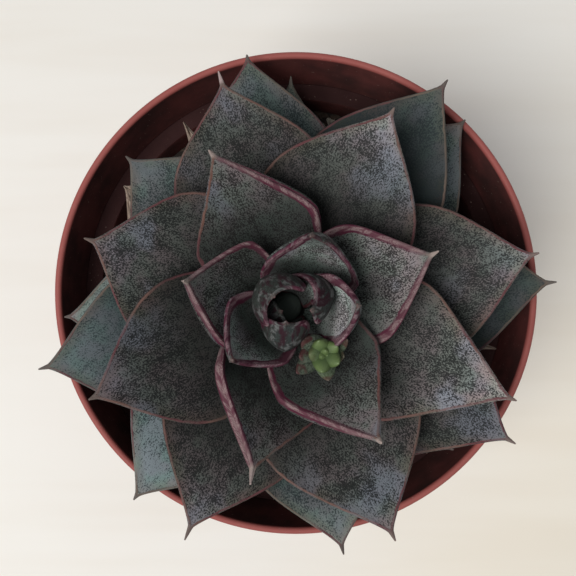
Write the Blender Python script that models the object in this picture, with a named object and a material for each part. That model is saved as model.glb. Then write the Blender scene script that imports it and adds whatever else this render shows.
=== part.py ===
"""A potted echeveria: a rosette of thick pointed leaves on a short stem, in soil, in a round plastic pot.

Metres, +Z up. The origin is the centre of the pot's underside, on the surface that the pot stands on.
The named sizes below are in millimetres and are scaled by MM where a mesh is made.
"""
import math
from dataclasses import dataclass

import bmesh
import bpy
import numpy as np

MM = 0.001
GAP = 0.3              # left between pieces that touch on the real plant
TURN_STEPS = 56        # facets round the pot and the soil
STEM_STEPS = 24
HOLE_STEPS = 20

# Pot: a thin shell with a deeper collar at the top and a step inside below the collar
RIM_HEIGHT = 74.0
RIM_RADIUS = 42.5
LIP_WIDTH = 1.2
COLLAR_DEPTH = 12.2
COLLAR_TAPER = 1.2
LEDGE_HEIGHT = 62.4
LEDGE_INNER = 36.9
LEDGE_OUTER = 39.9
WALL = 1.1
FOOT_RADIUS = 28.8
FLOOR_TOP = 2.5
FLOOR_INNER = FOOT_RADIUS - WALL
FOOT_WIDTH = 3.2
PAD_RADIUS = 12.5
UNDERSIDE_RELIEF = 1.2
DRAIN_HOLES = 6
DRAIN_RADIUS = 2.6
DRAIN_RING = 19.0

# Soil: fills the pot to below the ledge, with a round hole for the stem
SOIL_TOP = 58.3
SOIL_BUMP = 0.4
STEM_HOLE_DEPTH = 25.0

# Stem: stands a little to one side of the pot's centre and tapers upwards
AXIS = (-1.6, -2.0)
STEM_LOW_RADIUS = 5.5
STEM_TOP_RADIUS = 2.2
STEM_TOP_REACH = 0.8
STEM_CHAMFER = 0.7
STEM_LEVEL_RANKS = 7

# Rosette: the leaves climb the stem on a spiral, oldest and lowest first
FIRST_TURN = 81.0
SPIRAL_STEP = 136.7
SEAT_LOW = 62.0
SEAT_STEP = 0.90
HEART_RANK = 28
HEART_SEAT_STEP = 0.55
LAST_RANK = 35
COMMON_TWIST = -3.0

# Bend of the midribs in degrees: it grows slowly up the spiral, then faster, up to a limit in the heart
OUTER_BEND = 8.0
OUTER_BEND_STEP = 0.55
INNER_RANK = 24
INNER_BEND = 27.6
INNER_BEND_STEP = 3.4
MOST_BEND = 42.0

# Leaf outline, in shares of the leaf's length and width
BIG_LEAF = 26.0
SEAT_WIDTH = 6.6        # of a leaf of that width
MOST_SEAT_SHARE = 0.45
ROUNDED = 1.22          # above this bluntness the sides are curved
ROUNDED_WIDEST = 0.44
POINTED_WIDEST = 0.40
ROUNDED_POWER = 5.0
POINTED_POWER = 12.0
SPIKE_HALF_WIDTH = 0.42
SPIKE_TAPER = 0.55

# Leaf section: a thin margin, and an underside that is keeled along the midrib
EDGE = 0.6
KEEL_POWER = 1.8
SEAT_BODY = 0.4         # share of the full thickness at the seat
TIP_THINNING = 0.9
MOST_BODY = 1.2         # thickness in half-widths, which keeps the spine slender
FLANK_SWELL = 0.45

# Leaf mesh: stations along the leaf, points across its face and across its underside
STATIONS = 13
STATION_SHIFT = 0.12    # the stations stand a little closer towards the tip
FACE_POINTS = 5
KEEL_POINTS = 7

# Flower bud: a short stalk out of the axil of one upper leaf, with a cluster of small bracts
BUD_CENTRE = (4.3, -8.9, 95.2)
BUD_STALK_FOOT_TURN = 318.0
BUD_STALK_FOOT_RADIUS = 4.6
BUD_STALK_FOOT_HEIGHT = 88.9
BUD_STALK_RADIUS = 0.75
BUD_STALK_LEVELS = 5
BUD_SIDES = 8
BRACT_RINGS = 6
BRACT_DEPTH = 1.0       # how far below the bud's centre the bracts spring

LEAF_GREEN = (0.062, 0.075, 0.070)
HEART_GREEN = (0.130, 0.120, 0.110)
DRY_BEIGE = (0.420, 0.300, 0.190)
POT_BROWN = (0.260, 0.062, 0.045)
SOIL_BROWN = (0.022, 0.017, 0.013)
STEM_BROWN = (0.085, 0.070, 0.045)
BUD_GREEN = (0.260, 0.430, 0.130)


@dataclass
class Leaf:
    """One leaf, as read from above: where it sits on the spiral, how far it reaches and how it lies."""
    name: str
    rank: int            # its place on the spiral, counted from the oldest leaf
    swing: float         # degrees that it lies off the spiral
    reach: float         # from the stem's axis to the tip
    lift: float          # of the tip over the pot's rim
    width: float
    blunt: float = 1.16  # 1.16 is a straight-sided point, 1.6 a rounded one
    spine: float = 1.4   # length of the thin point at the tip
    twist: float = 0.0   # degrees about its midrib
    flank: float = 0.0   # swelling of the side that the twist shows, and which side
    thick: float = 3.5
    arch: float = 0.0    # degrees that the midrib bends, or 0 for the common rule

    @property
    def turn(self):
        return math.radians(FIRST_TURN + SPIRAL_STEP * self.rank + self.swing)

    @property
    def seat(self):
        return SEAT_LOW + seat_rise(self.rank)

    @property
    def root(self):
        return stem_radius(self.rank) + GAP

    @property
    def bend(self):
        """Outer leaves are nearly straight, and the leaves of the heart bend inwards."""
        if self.arch:
            return math.radians(self.arch)
        if self.rank < INNER_RANK:
            return math.radians(OUTER_BEND + OUTER_BEND_STEP * self.rank)
        return math.radians(min(INNER_BEND + INNER_BEND_STEP * (self.rank - INNER_RANK), MOST_BEND))


LEAVES = [
    Leaf("leaf_01", 0, 8.0, 41.4, -4.5, 20.0, blunt=1.3, spine=1.6),
    Leaf("leaf_02", 4, 1.0, 36.6, -3.0, 20.0, blunt=1.3, spine=1.2),
    Leaf("leaf_03", 5, 1.5, 44.6, 1.6, 26.5, blunt=1.6, spine=1.0),
    Leaf("leaf_04", 6, 2.0, 38.7, 1.4, 27.0, blunt=1.4, spine=1.0),
    Leaf("leaf_05", 7, 1.0, 38.2, 2.2, 26.0, blunt=1.5, spine=1.2),
    Leaf("leaf_06", 8, 4.5, 42.9, 3.6, 27.0, blunt=1.5, spine=1.0),
    Leaf("leaf_07", 9, 0.5, 41.2, 6.1, 26.0, blunt=1.5, spine=1.0),
    Leaf("leaf_08", 10, -3.0, 44.5, 8.4, 27.5, blunt=1.25, spine=1.6),
    Leaf("leaf_09", 11, -7.5, 35.3, 7.6, 25.0, blunt=1.6, spine=1.2),
    Leaf("leaf_10", 12, 1.5, 41.5, 9.7, 26.0, blunt=1.4, spine=1.6),
    Leaf("leaf_11", 13, -3.5, 43.2, 12.8, 26.5, blunt=1.4),
    Leaf("leaf_12", 14, -0.5, 40.4, 12.2, 26.0, blunt=1.2, spine=1.6),
    Leaf("leaf_13", 15, -2.5, 41.3, 13.6, 27.0, blunt=1.2, spine=1.6),
    Leaf("leaf_14", 16, -2.0, 37.9, 15.5, 27.5, blunt=1.5, spine=3.0),
    Leaf("leaf_15", 17, 1.5, 38.3, 15.8, 26.0, spine=1.6),
    Leaf("leaf_16", 18, -9.5, 39.0, 18.2, 26.0),
    Leaf("leaf_17", 19, 3.0, 32.2, 17.1, 26.0, blunt=1.5, spine=1.6),
    Leaf("leaf_18", 20, 0.0, 38.0, 20.8, 27.5, spine=1.6),
    Leaf("leaf_19", 21, -10.0, 33.2, 21.7, 26.5, spine=1.2),
    Leaf("leaf_20", 22, -3.5, 31.8, 23.0, 24.0, spine=1.2),
    Leaf("leaf_21", 23, -7.0, 34.2, 25.1, 24.5),
    Leaf("leaf_22", 24, -5.5, 25.1, 24.2, 19.0, twist=-7.0, flank=-1.0),
    Leaf("leaf_23", 25, 0.0, 25.1, 26.2, 18.0, spine=3.0, twist=-21.0, flank=-1.0, thick=3.8),
    Leaf("leaf_24", 26, -14.0, 22.6, 26.3, 18.5, spine=1.8, twist=1.0, thick=3.3),
    Leaf("leaf_25", 27, -7.0, 14.8, 27.0, 16.5, blunt=1.2, twist=5.0, flank=1.0, thick=2.9),
    Leaf("leaf_26", 28, -3.0, 21.8, 31.1, 17.0, spine=1.2, twist=-5.0, flank=-1.0, thick=3.2),
    Leaf("leaf_27", 29, -10.5, 11.3, 28.3, 13.2, blunt=1.25, spine=1.0, twist=10.0, flank=0.6, thick=2.4),
    Leaf("leaf_28", 30, 1.5, 10.2, 29.0, 11.5, blunt=1.25, spine=1.0, twist=1.0, thick=2.3),
    Leaf("leaf_29", 31, 11.5, 9.6, 31.0, 11.0, blunt=1.3, spine=1.0, twist=1.0, thick=1.9),
    Leaf("leaf_30", 32, 12.5, 3.4, 29.5, 10.0, blunt=1.4, spine=0.8, twist=1.0, thick=1.6, arch=58.0),
    Leaf("leaf_31", 33, -5.0, 3.8, 29.5, 8.0, blunt=1.4, spine=0.8, twist=1.0, thick=1.5, arch=66.0),
    Leaf("leaf_32", 34, -21.0, 2.3, 29.5, 7.0, blunt=1.4, spine=0.8, twist=1.0, thick=1.3, arch=66.0),
    Leaf("leaf_33", 35, 4.5, 1.0, 25.0, 3.6, blunt=1.4, spine=0.8, twist=1.0, thick=1.0, arch=40.0),
]

# Withered leaves, thin as card, under the living ones
DRY_LEAVES = [
    Leaf("dry_leaf_1", 1, -4.5, 33.6, -5.5, 11.0, spine=2.5, thick=0.4),
    Leaf("dry_leaf_2", 2, -6.5, 38.6, -3.5, 11.0, spine=2.5, thick=0.4),
    Leaf("dry_leaf_3", 3, -11.5, 37.5, -2.5, 9.0, spine=2.5, thick=0.4),
    Leaf("dry_leaf_4", -2, -23.5, 35.5, -3.5, 12.0, blunt=1.4, spine=2.0, thick=0.4),
]


@dataclass
class Bract:
    """One small bract of the bud: where it points and how large it is."""
    turn: float
    tilt: float
    length: float
    width: float
    thick: float


BRACTS = [
    Bract(95.0, 16.0, 3.4, 2.4, 2.0),
    Bract(20.0, 20.0, 3.2, 2.3, 2.0),
    Bract(-40.0, 24.0, 3.4, 2.3, 2.0),
    Bract(-115.0, 22.0, 3.3, 2.4, 2.0),
    Bract(170.0, 20.0, 3.2, 2.3, 2.0),
    Bract(150.0, 52.0, 4.6, 2.8, 1.5),
    Bract(212.0, 66.0, 5.4, 2.0, 1.4),
    Bract(38.0, 54.0, 4.2, 2.2, 1.4),
    Bract(-14.0, 50.0, 3.8, 2.4, 1.5),
    Bract(-86.0, 60.0, 4.6, 2.4, 1.5),
    Bract(188.0, 46.0, 3.8, 2.2, 1.5),
]


def smooth(share):
    """A soft ramp from 0 to 1."""
    share = np.clip(share, 0, 1)
    return share * share * (3 - 2 * share)


def seat_rise(rank):
    """Height of a leaf's seat over the oldest leaf's, closer set in the heart."""
    return SEAT_STEP * min(rank, HEART_RANK) + HEART_SEAT_STEP * max(rank - HEART_RANK, 0)


def stem_radius(rank):
    """The stem thins evenly from the oldest leaf to the youngest."""
    share = max(rank, 0) / LAST_RANK
    return STEM_LOW_RADIUS + (STEM_TOP_RADIUS - STEM_LOW_RADIUS) * share


def clear_scene():
    for item in list(bpy.data.objects):
        bpy.data.objects.remove(item, do_unlink=True)


def material(name, colour, roughness, metallic=0.0):
    made = bpy.data.materials.new(name)
    made.use_nodes = True
    shader = made.node_tree.nodes["Principled BSDF"]
    shader.inputs["Base Color"].default_value = (*colour, 1.0)
    shader.inputs["Roughness"].default_value = roughness
    shader.inputs["Metallic"].default_value = metallic
    return made


def add_object(name, mesh, finish, sharp_degrees=40.0):
    made = bpy.data.objects.new(name, mesh)
    bpy.context.scene.collection.objects.link(made)
    mesh.materials.append(finish)
    mesh.shade_smooth()
    mesh.set_sharp_from_angle(angle=math.radians(sharp_degrees))
    return made


def mesh_from(name, points, faces):
    """A mesh from points in millimetres."""
    mesh = bpy.data.meshes.new(name)
    mesh.from_pydata((np.asarray(points) * MM).tolist(), [], faces)
    mesh.update()
    return mesh


def bake(made):
    """Applies an object's modifiers."""
    graph = bpy.context.evaluated_depsgraph_get()
    mesh = bpy.data.meshes.new_from_object(made.evaluated_get(graph))
    made.modifiers.clear()
    made.data = mesh
    return made


def turned(name, profile, finish, steps=TURN_STEPS):
    """Turns an open outline about Z. It starts and ends on the axis and runs down its outer side."""
    outline = [(radius, 0.0, height) for radius, height in profile]
    edges = [(i, i + 1) for i in range(len(outline) - 1)]
    mesh = bpy.data.meshes.new(name)
    mesh.from_pydata((np.array(outline) * MM).tolist(), edges, [])
    made = bpy.data.objects.new(name, mesh)
    bpy.context.scene.collection.objects.link(made)
    mesh.materials.append(finish)
    screw = made.modifiers.new("turn", 'SCREW')
    screw.steps = steps
    screw.render_steps = steps
    screw.use_merge_vertices = True
    screw.merge_threshold = 0.00001
    screw.use_smooth_shade = True
    return made


def cutter(name, shapes):
    """Upright round cutters, each given as x, y, radius, bottom and top, in one hidden object."""
    cut = bmesh.new()
    for x, y, radius, low, high in shapes:
        made = bmesh.ops.create_cone(cut, cap_ends=True, segments=HOLE_STEPS, radius1=radius * MM,
                                     radius2=radius * MM, depth=(high - low) * MM)
        bmesh.ops.translate(cut, verts=made["verts"], vec=(x * MM, y * MM, (low + high) / 2 * MM))
    mesh = bpy.data.meshes.new(name)
    cut.to_mesh(mesh)
    cut.free()
    made = bpy.data.objects.new(name, mesh)
    bpy.context.scene.collection.objects.link(made)
    made.hide_render = True
    made.display_type = 'WIRE'
    return made


def cut_with(made, tool):
    cut = made.modifiers.new("cut", 'BOOLEAN')
    cut.operation = 'DIFFERENCE'
    cut.solver = 'EXACT'
    cut.object = tool


def pot_profile():
    """Up the inside from the floor, over the rounded lip and down the outside to the underside."""
    lip = LIP_WIDTH / 2
    lip_angles = [math.pi - math.pi * i / 4 for i in range(5)]
    lip_arc = [(RIM_RADIUS - lip + lip * math.cos(a), RIM_HEIGHT - lip + lip * math.sin(a))
               for a in lip_angles]
    collar_low = RIM_HEIGHT - COLLAR_DEPTH
    collar_radius = RIM_RADIUS - COLLAR_TAPER
    inside = [(0, FLOOR_TOP), (FLOOR_INNER, FLOOR_TOP), (LEDGE_INNER, LEDGE_HEIGHT - 0.3),
              (LEDGE_INNER + 0.3, LEDGE_HEIGHT), (LEDGE_OUTER, LEDGE_HEIGHT)]
    outside = [(collar_radius, collar_low + 0.4), (collar_radius - 0.4, collar_low),
               (LEDGE_INNER + WALL, collar_low - 0.9), (FOOT_RADIUS, 0.6), (FOOT_RADIUS - 0.6, 0)]
    relief = UNDERSIDE_RELIEF
    under = [(FOOT_RADIUS - FOOT_WIDTH, 0), (FOOT_RADIUS - FOOT_WIDTH - relief / 2, relief),
             (PAD_RADIUS + relief / 2, relief), (PAD_RADIUS, 0), (0, 0)]
    return inside + lip_arc + outside + under


def make_pot():
    finish = material("pot_plastic", POT_BROWN, 0.45)
    pot = turned("pot", pot_profile(), finish)
    holes = []
    for i in range(DRAIN_HOLES):
        angle = 2 * math.pi * (i + 0.5) / DRAIN_HOLES
        holes.append((DRAIN_RING * math.cos(angle), DRAIN_RING * math.sin(angle),
                      DRAIN_RADIUS, -1.0, FLOOR_TOP + 1.0))
    cut_with(pot, cutter("drain_hole_cutter", holes))
    return pot


def soil_radius(height):
    """Inside the pot's wall, with the gap."""
    share = (height - FLOOR_TOP) / (LEDGE_HEIGHT - FLOOR_TOP)
    return FLOOR_INNER + (LEDGE_INNER - FLOOR_INNER) * share - GAP


def make_soil():
    """A tapered plug with a lightly uneven top, bored for the stem."""
    finish = material("soil_peat", SOIL_BROWN, 0.95)
    low = FLOOR_TOP + GAP
    top_radius = soil_radius(SOIL_TOP)
    rings = [top_radius * share for share in (0.86, 0.68, 0.46, 0.24)]
    profile = [(0, SOIL_TOP)] + [(radius, SOIL_TOP) for radius in reversed(rings)]
    profile += [(top_radius, SOIL_TOP), (soil_radius(low), low), (0, low)]
    soil = bake(turned("soil", profile, finish))
    for vertex in soil.data.vertices:
        x, y, z = vertex.co / MM
        if z > SOIL_TOP - 0.1 and math.hypot(x, y) < top_radius - 1:
            vertex.co.z += SOIL_BUMP * MM * math.sin(0.35 * x + 1) * math.cos(0.31 * y + 0.4)
    depth = SOIL_TOP - STEM_HOLE_DEPTH
    hole = (AXIS[0], AXIS[1], STEM_LOW_RADIUS + GAP, depth, SOIL_TOP + 5)
    cut_with(soil, cutter("stem_hole_cutter", [hole]))
    return soil


def make_stem():
    """A round stem, even up to the oldest leaf and tapered above it."""
    finish = material("stem_bark", STEM_BROWN, 0.8)
    foot = SOIL_TOP - STEM_HOLE_DEPTH + GAP
    top = SEAT_LOW + seat_rise(LAST_RANK) + STEM_TOP_REACH
    levels = [(foot, STEM_LOW_RADIUS - STEM_CHAMFER), (foot + STEM_CHAMFER, STEM_LOW_RADIUS),
              (SEAT_LOW, STEM_LOW_RADIUS)]
    for rank in range(STEM_LEVEL_RANKS, LAST_RANK + 1, STEM_LEVEL_RANKS):
        levels.append((SEAT_LOW + seat_rise(rank), stem_radius(rank)))
    levels.append((top, STEM_TOP_RADIUS * 0.6))
    profile = [(0, top)] + [(radius, height) for height, radius in reversed(levels)] + [(0, foot)]
    stem = turned("stem", profile, finish, steps=STEM_STEPS)
    stem.location = (AXIS[0] * MM, AXIS[1] * MM, 0)
    return stem


def midrib(leaf, along):
    """The midrib is an arc from the stem to the tip: its radius, height, slope angle and length."""
    run = leaf.reach - leaf.root
    rise = RIM_HEIGHT + leaf.lift - leaf.seat
    arc_radius = math.hypot(run, rise) / (2 * math.sin(leaf.bend / 2))
    start = math.atan2(rise, run) - leaf.bend / 2
    slope = start + leaf.bend * along
    radius = leaf.root + arc_radius * (np.sin(slope) - math.sin(start))
    height = leaf.seat + arc_radius * (math.cos(start) - np.cos(slope))
    return radius, height, slope, leaf.bend * arc_radius


def half_width(leaf, along, length):
    """Narrow at the seat, widest before the middle, then nearly straight sides to a thin spine."""
    rounded = leaf.blunt > ROUNDED
    widest = ROUNDED_WIDEST if rounded else POINTED_WIDEST
    power = ROUNDED_POWER if rounded else POINTED_POWER
    tip = 1 - leaf.spine / length
    seat_width = SEAT_WIDTH * (leaf.width / BIG_LEAF) ** 0.6
    seat_share = min(seat_width / leaf.width, MOST_SEAT_SHARE)
    inner = seat_share + (1 - seat_share) * np.sin(math.pi / 2 * np.clip(along / widest, 0, 1)) ** 1.5
    beyond = np.clip((along - widest) / (tip - widest), 0, 1)
    line = np.maximum(leaf.blunt * (1 - beyond), 1e-3)
    outer = ((line ** -power + 1) / (leaf.blunt ** -power + 1)) ** (-1 / power)
    blade = np.where(along < widest, inner, outer) * leaf.width / 2
    taper = 1 - SPIKE_TAPER * np.clip((along - tip) / (1 - tip), 0, 1)
    return blade + SPIKE_HALF_WIDTH * taper * smooth((along - 0.6) / 0.3)


def leaf_surface(leaf, along, across, underside):
    """Points of the face or of the keeled underside, for along in 0..1 and across in -1..1."""
    radius, height, slope, length = midrib(leaf, along)
    side = np.array([-math.sin(leaf.turn), math.cos(leaf.turn), 0.0])
    outward = np.array([math.cos(leaf.turn), math.sin(leaf.turn), 0.0])
    up = np.array([0.0, 0.0, 1.0])
    normal = -np.sin(slope)[..., None] * outward + np.cos(slope)[..., None] * up
    centre = radius[..., None] * outward + height[..., None] * up + np.array([*AXIS, 0.0])
    twist = math.radians(leaf.twist + COMMON_TWIST) * smooth(along / 0.45)
    turned_side = np.cos(twist)[..., None] * side + np.sin(twist)[..., None] * normal
    turned_normal = np.cos(twist)[..., None] * normal - np.sin(twist)[..., None] * side
    half = half_width(leaf, along, length)
    sideways = half * across
    cup = np.sin(np.clip(slope, 0.05, 1.35)) / (2 * np.maximum(radius, 5.0))
    raised = cup * sideways ** 2
    if underside:
        body = leaf.thick * (SEAT_BODY + (1 - SEAT_BODY) * smooth(along / 0.5))
        body = body * (1 - TIP_THINNING * smooth((along - 0.5) / 0.5))
        body = np.minimum(body, MOST_BODY * half)
        raised = raised - EDGE - body * (1 - np.abs(across) ** KEEL_POWER) ** 0.95
        bulge = np.clip(np.sign(leaf.flank) * np.sin(2 * np.arccos(np.clip(across, -1, 1))), 0, 1)
        sideways = sideways + FLANK_SWELL * leaf.flank * body * bulge ** 0.6
    return centre + sideways[..., None] * turned_side + raised[..., None] * turned_normal


def ring_faces(rings, count):
    """Triangles between rings of points that run round a leaf, with a fan at each end."""
    faces = []
    for ring in range(rings - 1):
        for i in range(count):
            a = ring * count + i
            b = ring * count + (i + 1) % count
            faces += [(a, b + count, b), (a, a + count, b + count)]
    first = rings * count
    last = (rings - 1) * count
    for i in range(count):
        j = (i + 1) % count
        faces += [(first, i, j), (first + 1, last + j, last + i)]
    return faces


def make_leaf(leaf, finish, stations=STATIONS, face_points=FACE_POINTS, keel_points=KEEL_POINTS):
    """A closed leaf: rings of face and underside points from the seat to the tip."""
    even = np.linspace(0, 1, stations)
    along = even + STATION_SHIFT * np.sin(math.pi * even) * even
    face_across = np.sin(np.linspace(-math.pi / 2, math.pi / 2, face_points))
    keel_across = np.sin(np.linspace(math.pi / 2, -math.pi / 2, keel_points))
    face = leaf_surface(leaf, *np.meshgrid(along, face_across, indexing='ij'), underside=False)
    keel = leaf_surface(leaf, *np.meshgrid(along, keel_across, indexing='ij'), underside=True)
    rings = np.concatenate([face, keel], axis=1)
    ends = [rings[0].mean(axis=0), rings[-1].mean(axis=0)]
    points = np.vstack([rings.reshape(-1, 3), ends])
    mesh = mesh_from(leaf.name, points, ring_faces(stations, face_points + keel_points))
    return add_object(leaf.name, mesh, finish, sharp_degrees=60.0)


def make_leaves():
    outer_finish = material("leaf_skin", LEAF_GREEN, 0.5)
    heart_finish = material("heart_leaf_skin", HEART_GREEN, 0.5)
    dry_finish = material("dry_leaf_skin", DRY_BEIGE, 0.85)
    for leaf in LEAVES:
        make_leaf(leaf, heart_finish if leaf.rank > HEART_RANK else outer_finish)
    for leaf in DRY_LEAVES:
        make_leaf(leaf, dry_finish, stations=10, face_points=5, keel_points=5)


def bract_points(bract):
    """A plump pointed bract: an ellipse swept from the bud's centre, widest at its middle."""
    turn = math.radians(bract.turn)
    tilt = math.radians(bract.tilt)
    outward = np.array([math.cos(turn), math.sin(turn), 0.0])
    up = np.array([0.0, 0.0, 1.0])
    side = np.cross(up, outward)
    points = []
    ends = []
    for ring in range(BRACT_RINGS + 1):
        along = ring / BRACT_RINGS
        lean = tilt * (1.15 - 0.45 * along)
        direction = math.sin(lean) * outward + math.cos(lean) * up
        normal = math.cos(lean) * outward - math.sin(lean) * up
        centre = np.array(BUD_CENTRE) + (bract.length * along - BRACT_DEPTH) * direction
        if ring in (0, BRACT_RINGS):
            ends.append(centre)
            continue
        girth = math.sin(math.pi * along ** 0.8) ** 0.75
        for i in range(BUD_SIDES):
            angle = 2 * math.pi * i / BUD_SIDES
            points.append(centre + girth * (bract.width / 2 * math.cos(angle) * side
                                            + bract.thick / 2 * math.sin(angle) * normal))
    return np.vstack([points, ends])


def make_bract(index, bract, finish, group):
    mesh = mesh_from(f"bract_{index}", bract_points(bract), ring_faces(BRACT_RINGS - 1, BUD_SIDES))
    mesh.materials.append(finish)
    made = bpy.data.objects.new(f"bract_{index}", mesh)
    group.objects.link(made)


def make_bud():
    """The stalk, which every bract is joined to by one union."""
    finish = material("bud_skin", BUD_GREEN, 0.5)
    turn = math.radians(BUD_STALK_FOOT_TURN)
    foot = np.array([AXIS[0] + BUD_STALK_FOOT_RADIUS * math.cos(turn),
                     AXIS[1] + BUD_STALK_FOOT_RADIUS * math.sin(turn), BUD_STALK_FOOT_HEIGHT])
    top = np.array(BUD_CENTRE)
    points = []
    for level in range(BUD_STALK_LEVELS):
        share = level / (BUD_STALK_LEVELS - 1)
        centre = foot + (top - foot) * np.array([share, share, share ** 1.2])
        radius = BUD_STALK_RADIUS * (1 + 0.5 * share)
        for i in range(BUD_SIDES):
            angle = -2 * math.pi * i / BUD_SIDES
            points.append(centre + radius * np.array([math.cos(angle), math.sin(angle), 0.0]))
    points = np.vstack([points, [foot, top]])
    mesh = mesh_from("flower_bud", points, ring_faces(BUD_STALK_LEVELS, BUD_SIDES))
    bud = add_object("flower_bud", mesh, finish)
    group = bpy.data.collections.new("bract_group")
    bpy.context.scene.collection.children.link(group)
    for index, bract in enumerate(BRACTS):
        make_bract(index, bract, finish, group)
    union = bud.modifiers.new("union", 'BOOLEAN')
    union.operation = 'UNION'
    union.operand_type = 'COLLECTION'
    union.solver = 'EXACT'
    union.collection = group
    bake(bud)
    for item in list(group.objects):
        bpy.data.objects.remove(item, do_unlink=True)
    bpy.data.collections.remove(group)
    return bud


def main():
    clear_scene()
    make_pot()
    make_soil()
    make_stem()
    make_leaves()
    make_bud()


main()
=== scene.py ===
"""Looks of the potted echeveria: fine leaves, pot, soil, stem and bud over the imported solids.

Lengths in this file are millimetres unless a name says otherwise. MM turns them into metres.
"""

import logging
import math
from dataclasses import dataclass
from enum import Enum
from typing import Optional, Sequence, Union

import bpy
import numpy as np
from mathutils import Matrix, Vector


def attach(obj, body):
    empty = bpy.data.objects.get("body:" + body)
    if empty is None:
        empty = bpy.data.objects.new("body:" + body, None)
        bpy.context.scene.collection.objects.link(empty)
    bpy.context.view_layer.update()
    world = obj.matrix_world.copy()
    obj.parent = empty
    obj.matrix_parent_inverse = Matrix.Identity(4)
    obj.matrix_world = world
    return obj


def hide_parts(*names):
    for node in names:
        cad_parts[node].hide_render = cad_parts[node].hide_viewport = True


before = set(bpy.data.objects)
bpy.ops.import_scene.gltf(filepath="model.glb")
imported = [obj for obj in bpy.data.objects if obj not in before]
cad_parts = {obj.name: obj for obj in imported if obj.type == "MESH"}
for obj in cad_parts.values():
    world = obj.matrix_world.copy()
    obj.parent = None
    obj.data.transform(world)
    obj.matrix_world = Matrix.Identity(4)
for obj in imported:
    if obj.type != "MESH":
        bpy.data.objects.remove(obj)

logging.basicConfig(level=logging.INFO, format="%(message)s")
log = logging.getLogger("echeveria")

MM = 0.001
Array = np.ndarray
Socket = bpy.types.NodeSocket
Colour = tuple[float, float, float]
Wired = Union[Socket, float, Sequence[float]]

# Planes and sizes that the solids share with these pieces
RIM_HEIGHT = 74.0
RIM_RADIUS = 42.5
SOIL_TOP = 58.3
STEM_AXIS = (-1.6, -2.0)


def smooth(share: Array) -> Array:
    """A soft ramp: 3s^2 - 2s^3 of the share held between 0 and 1."""
    share = np.clip(share, 0.0, 1.0)
    return share * share * (3.0 - 2.0 * share)


def ripple(x: Array, y: Array, seed: float, waves: int = 5) -> Array:
    """Gentle unevenness: a sum of sines of x and y with rising frequency and falling height.

    Args:
        x: First coordinate, about one bump per unit.
        y: Second coordinate.
        seed: Shifts the phases, so that two pieces differ.
        waves: How many sines are added.

    Returns:
        Values of about -1 to 1, of the shape of x and y together.
    """
    total = np.zeros(np.broadcast(x, y).shape)
    for k in range(waves):
        turn = seed * 1.7 + 2.4 * k
        pitch = 1.0 + 0.62 * k
        total = total + np.sin(pitch * (x * math.cos(turn) + y * math.sin(turn)) * 2.6
                               + seed * (3.1 + k) + np.sin(pitch * y * 1.3 + k)) / (1.0 + 0.6 * k)
    return total / 2.2


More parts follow.
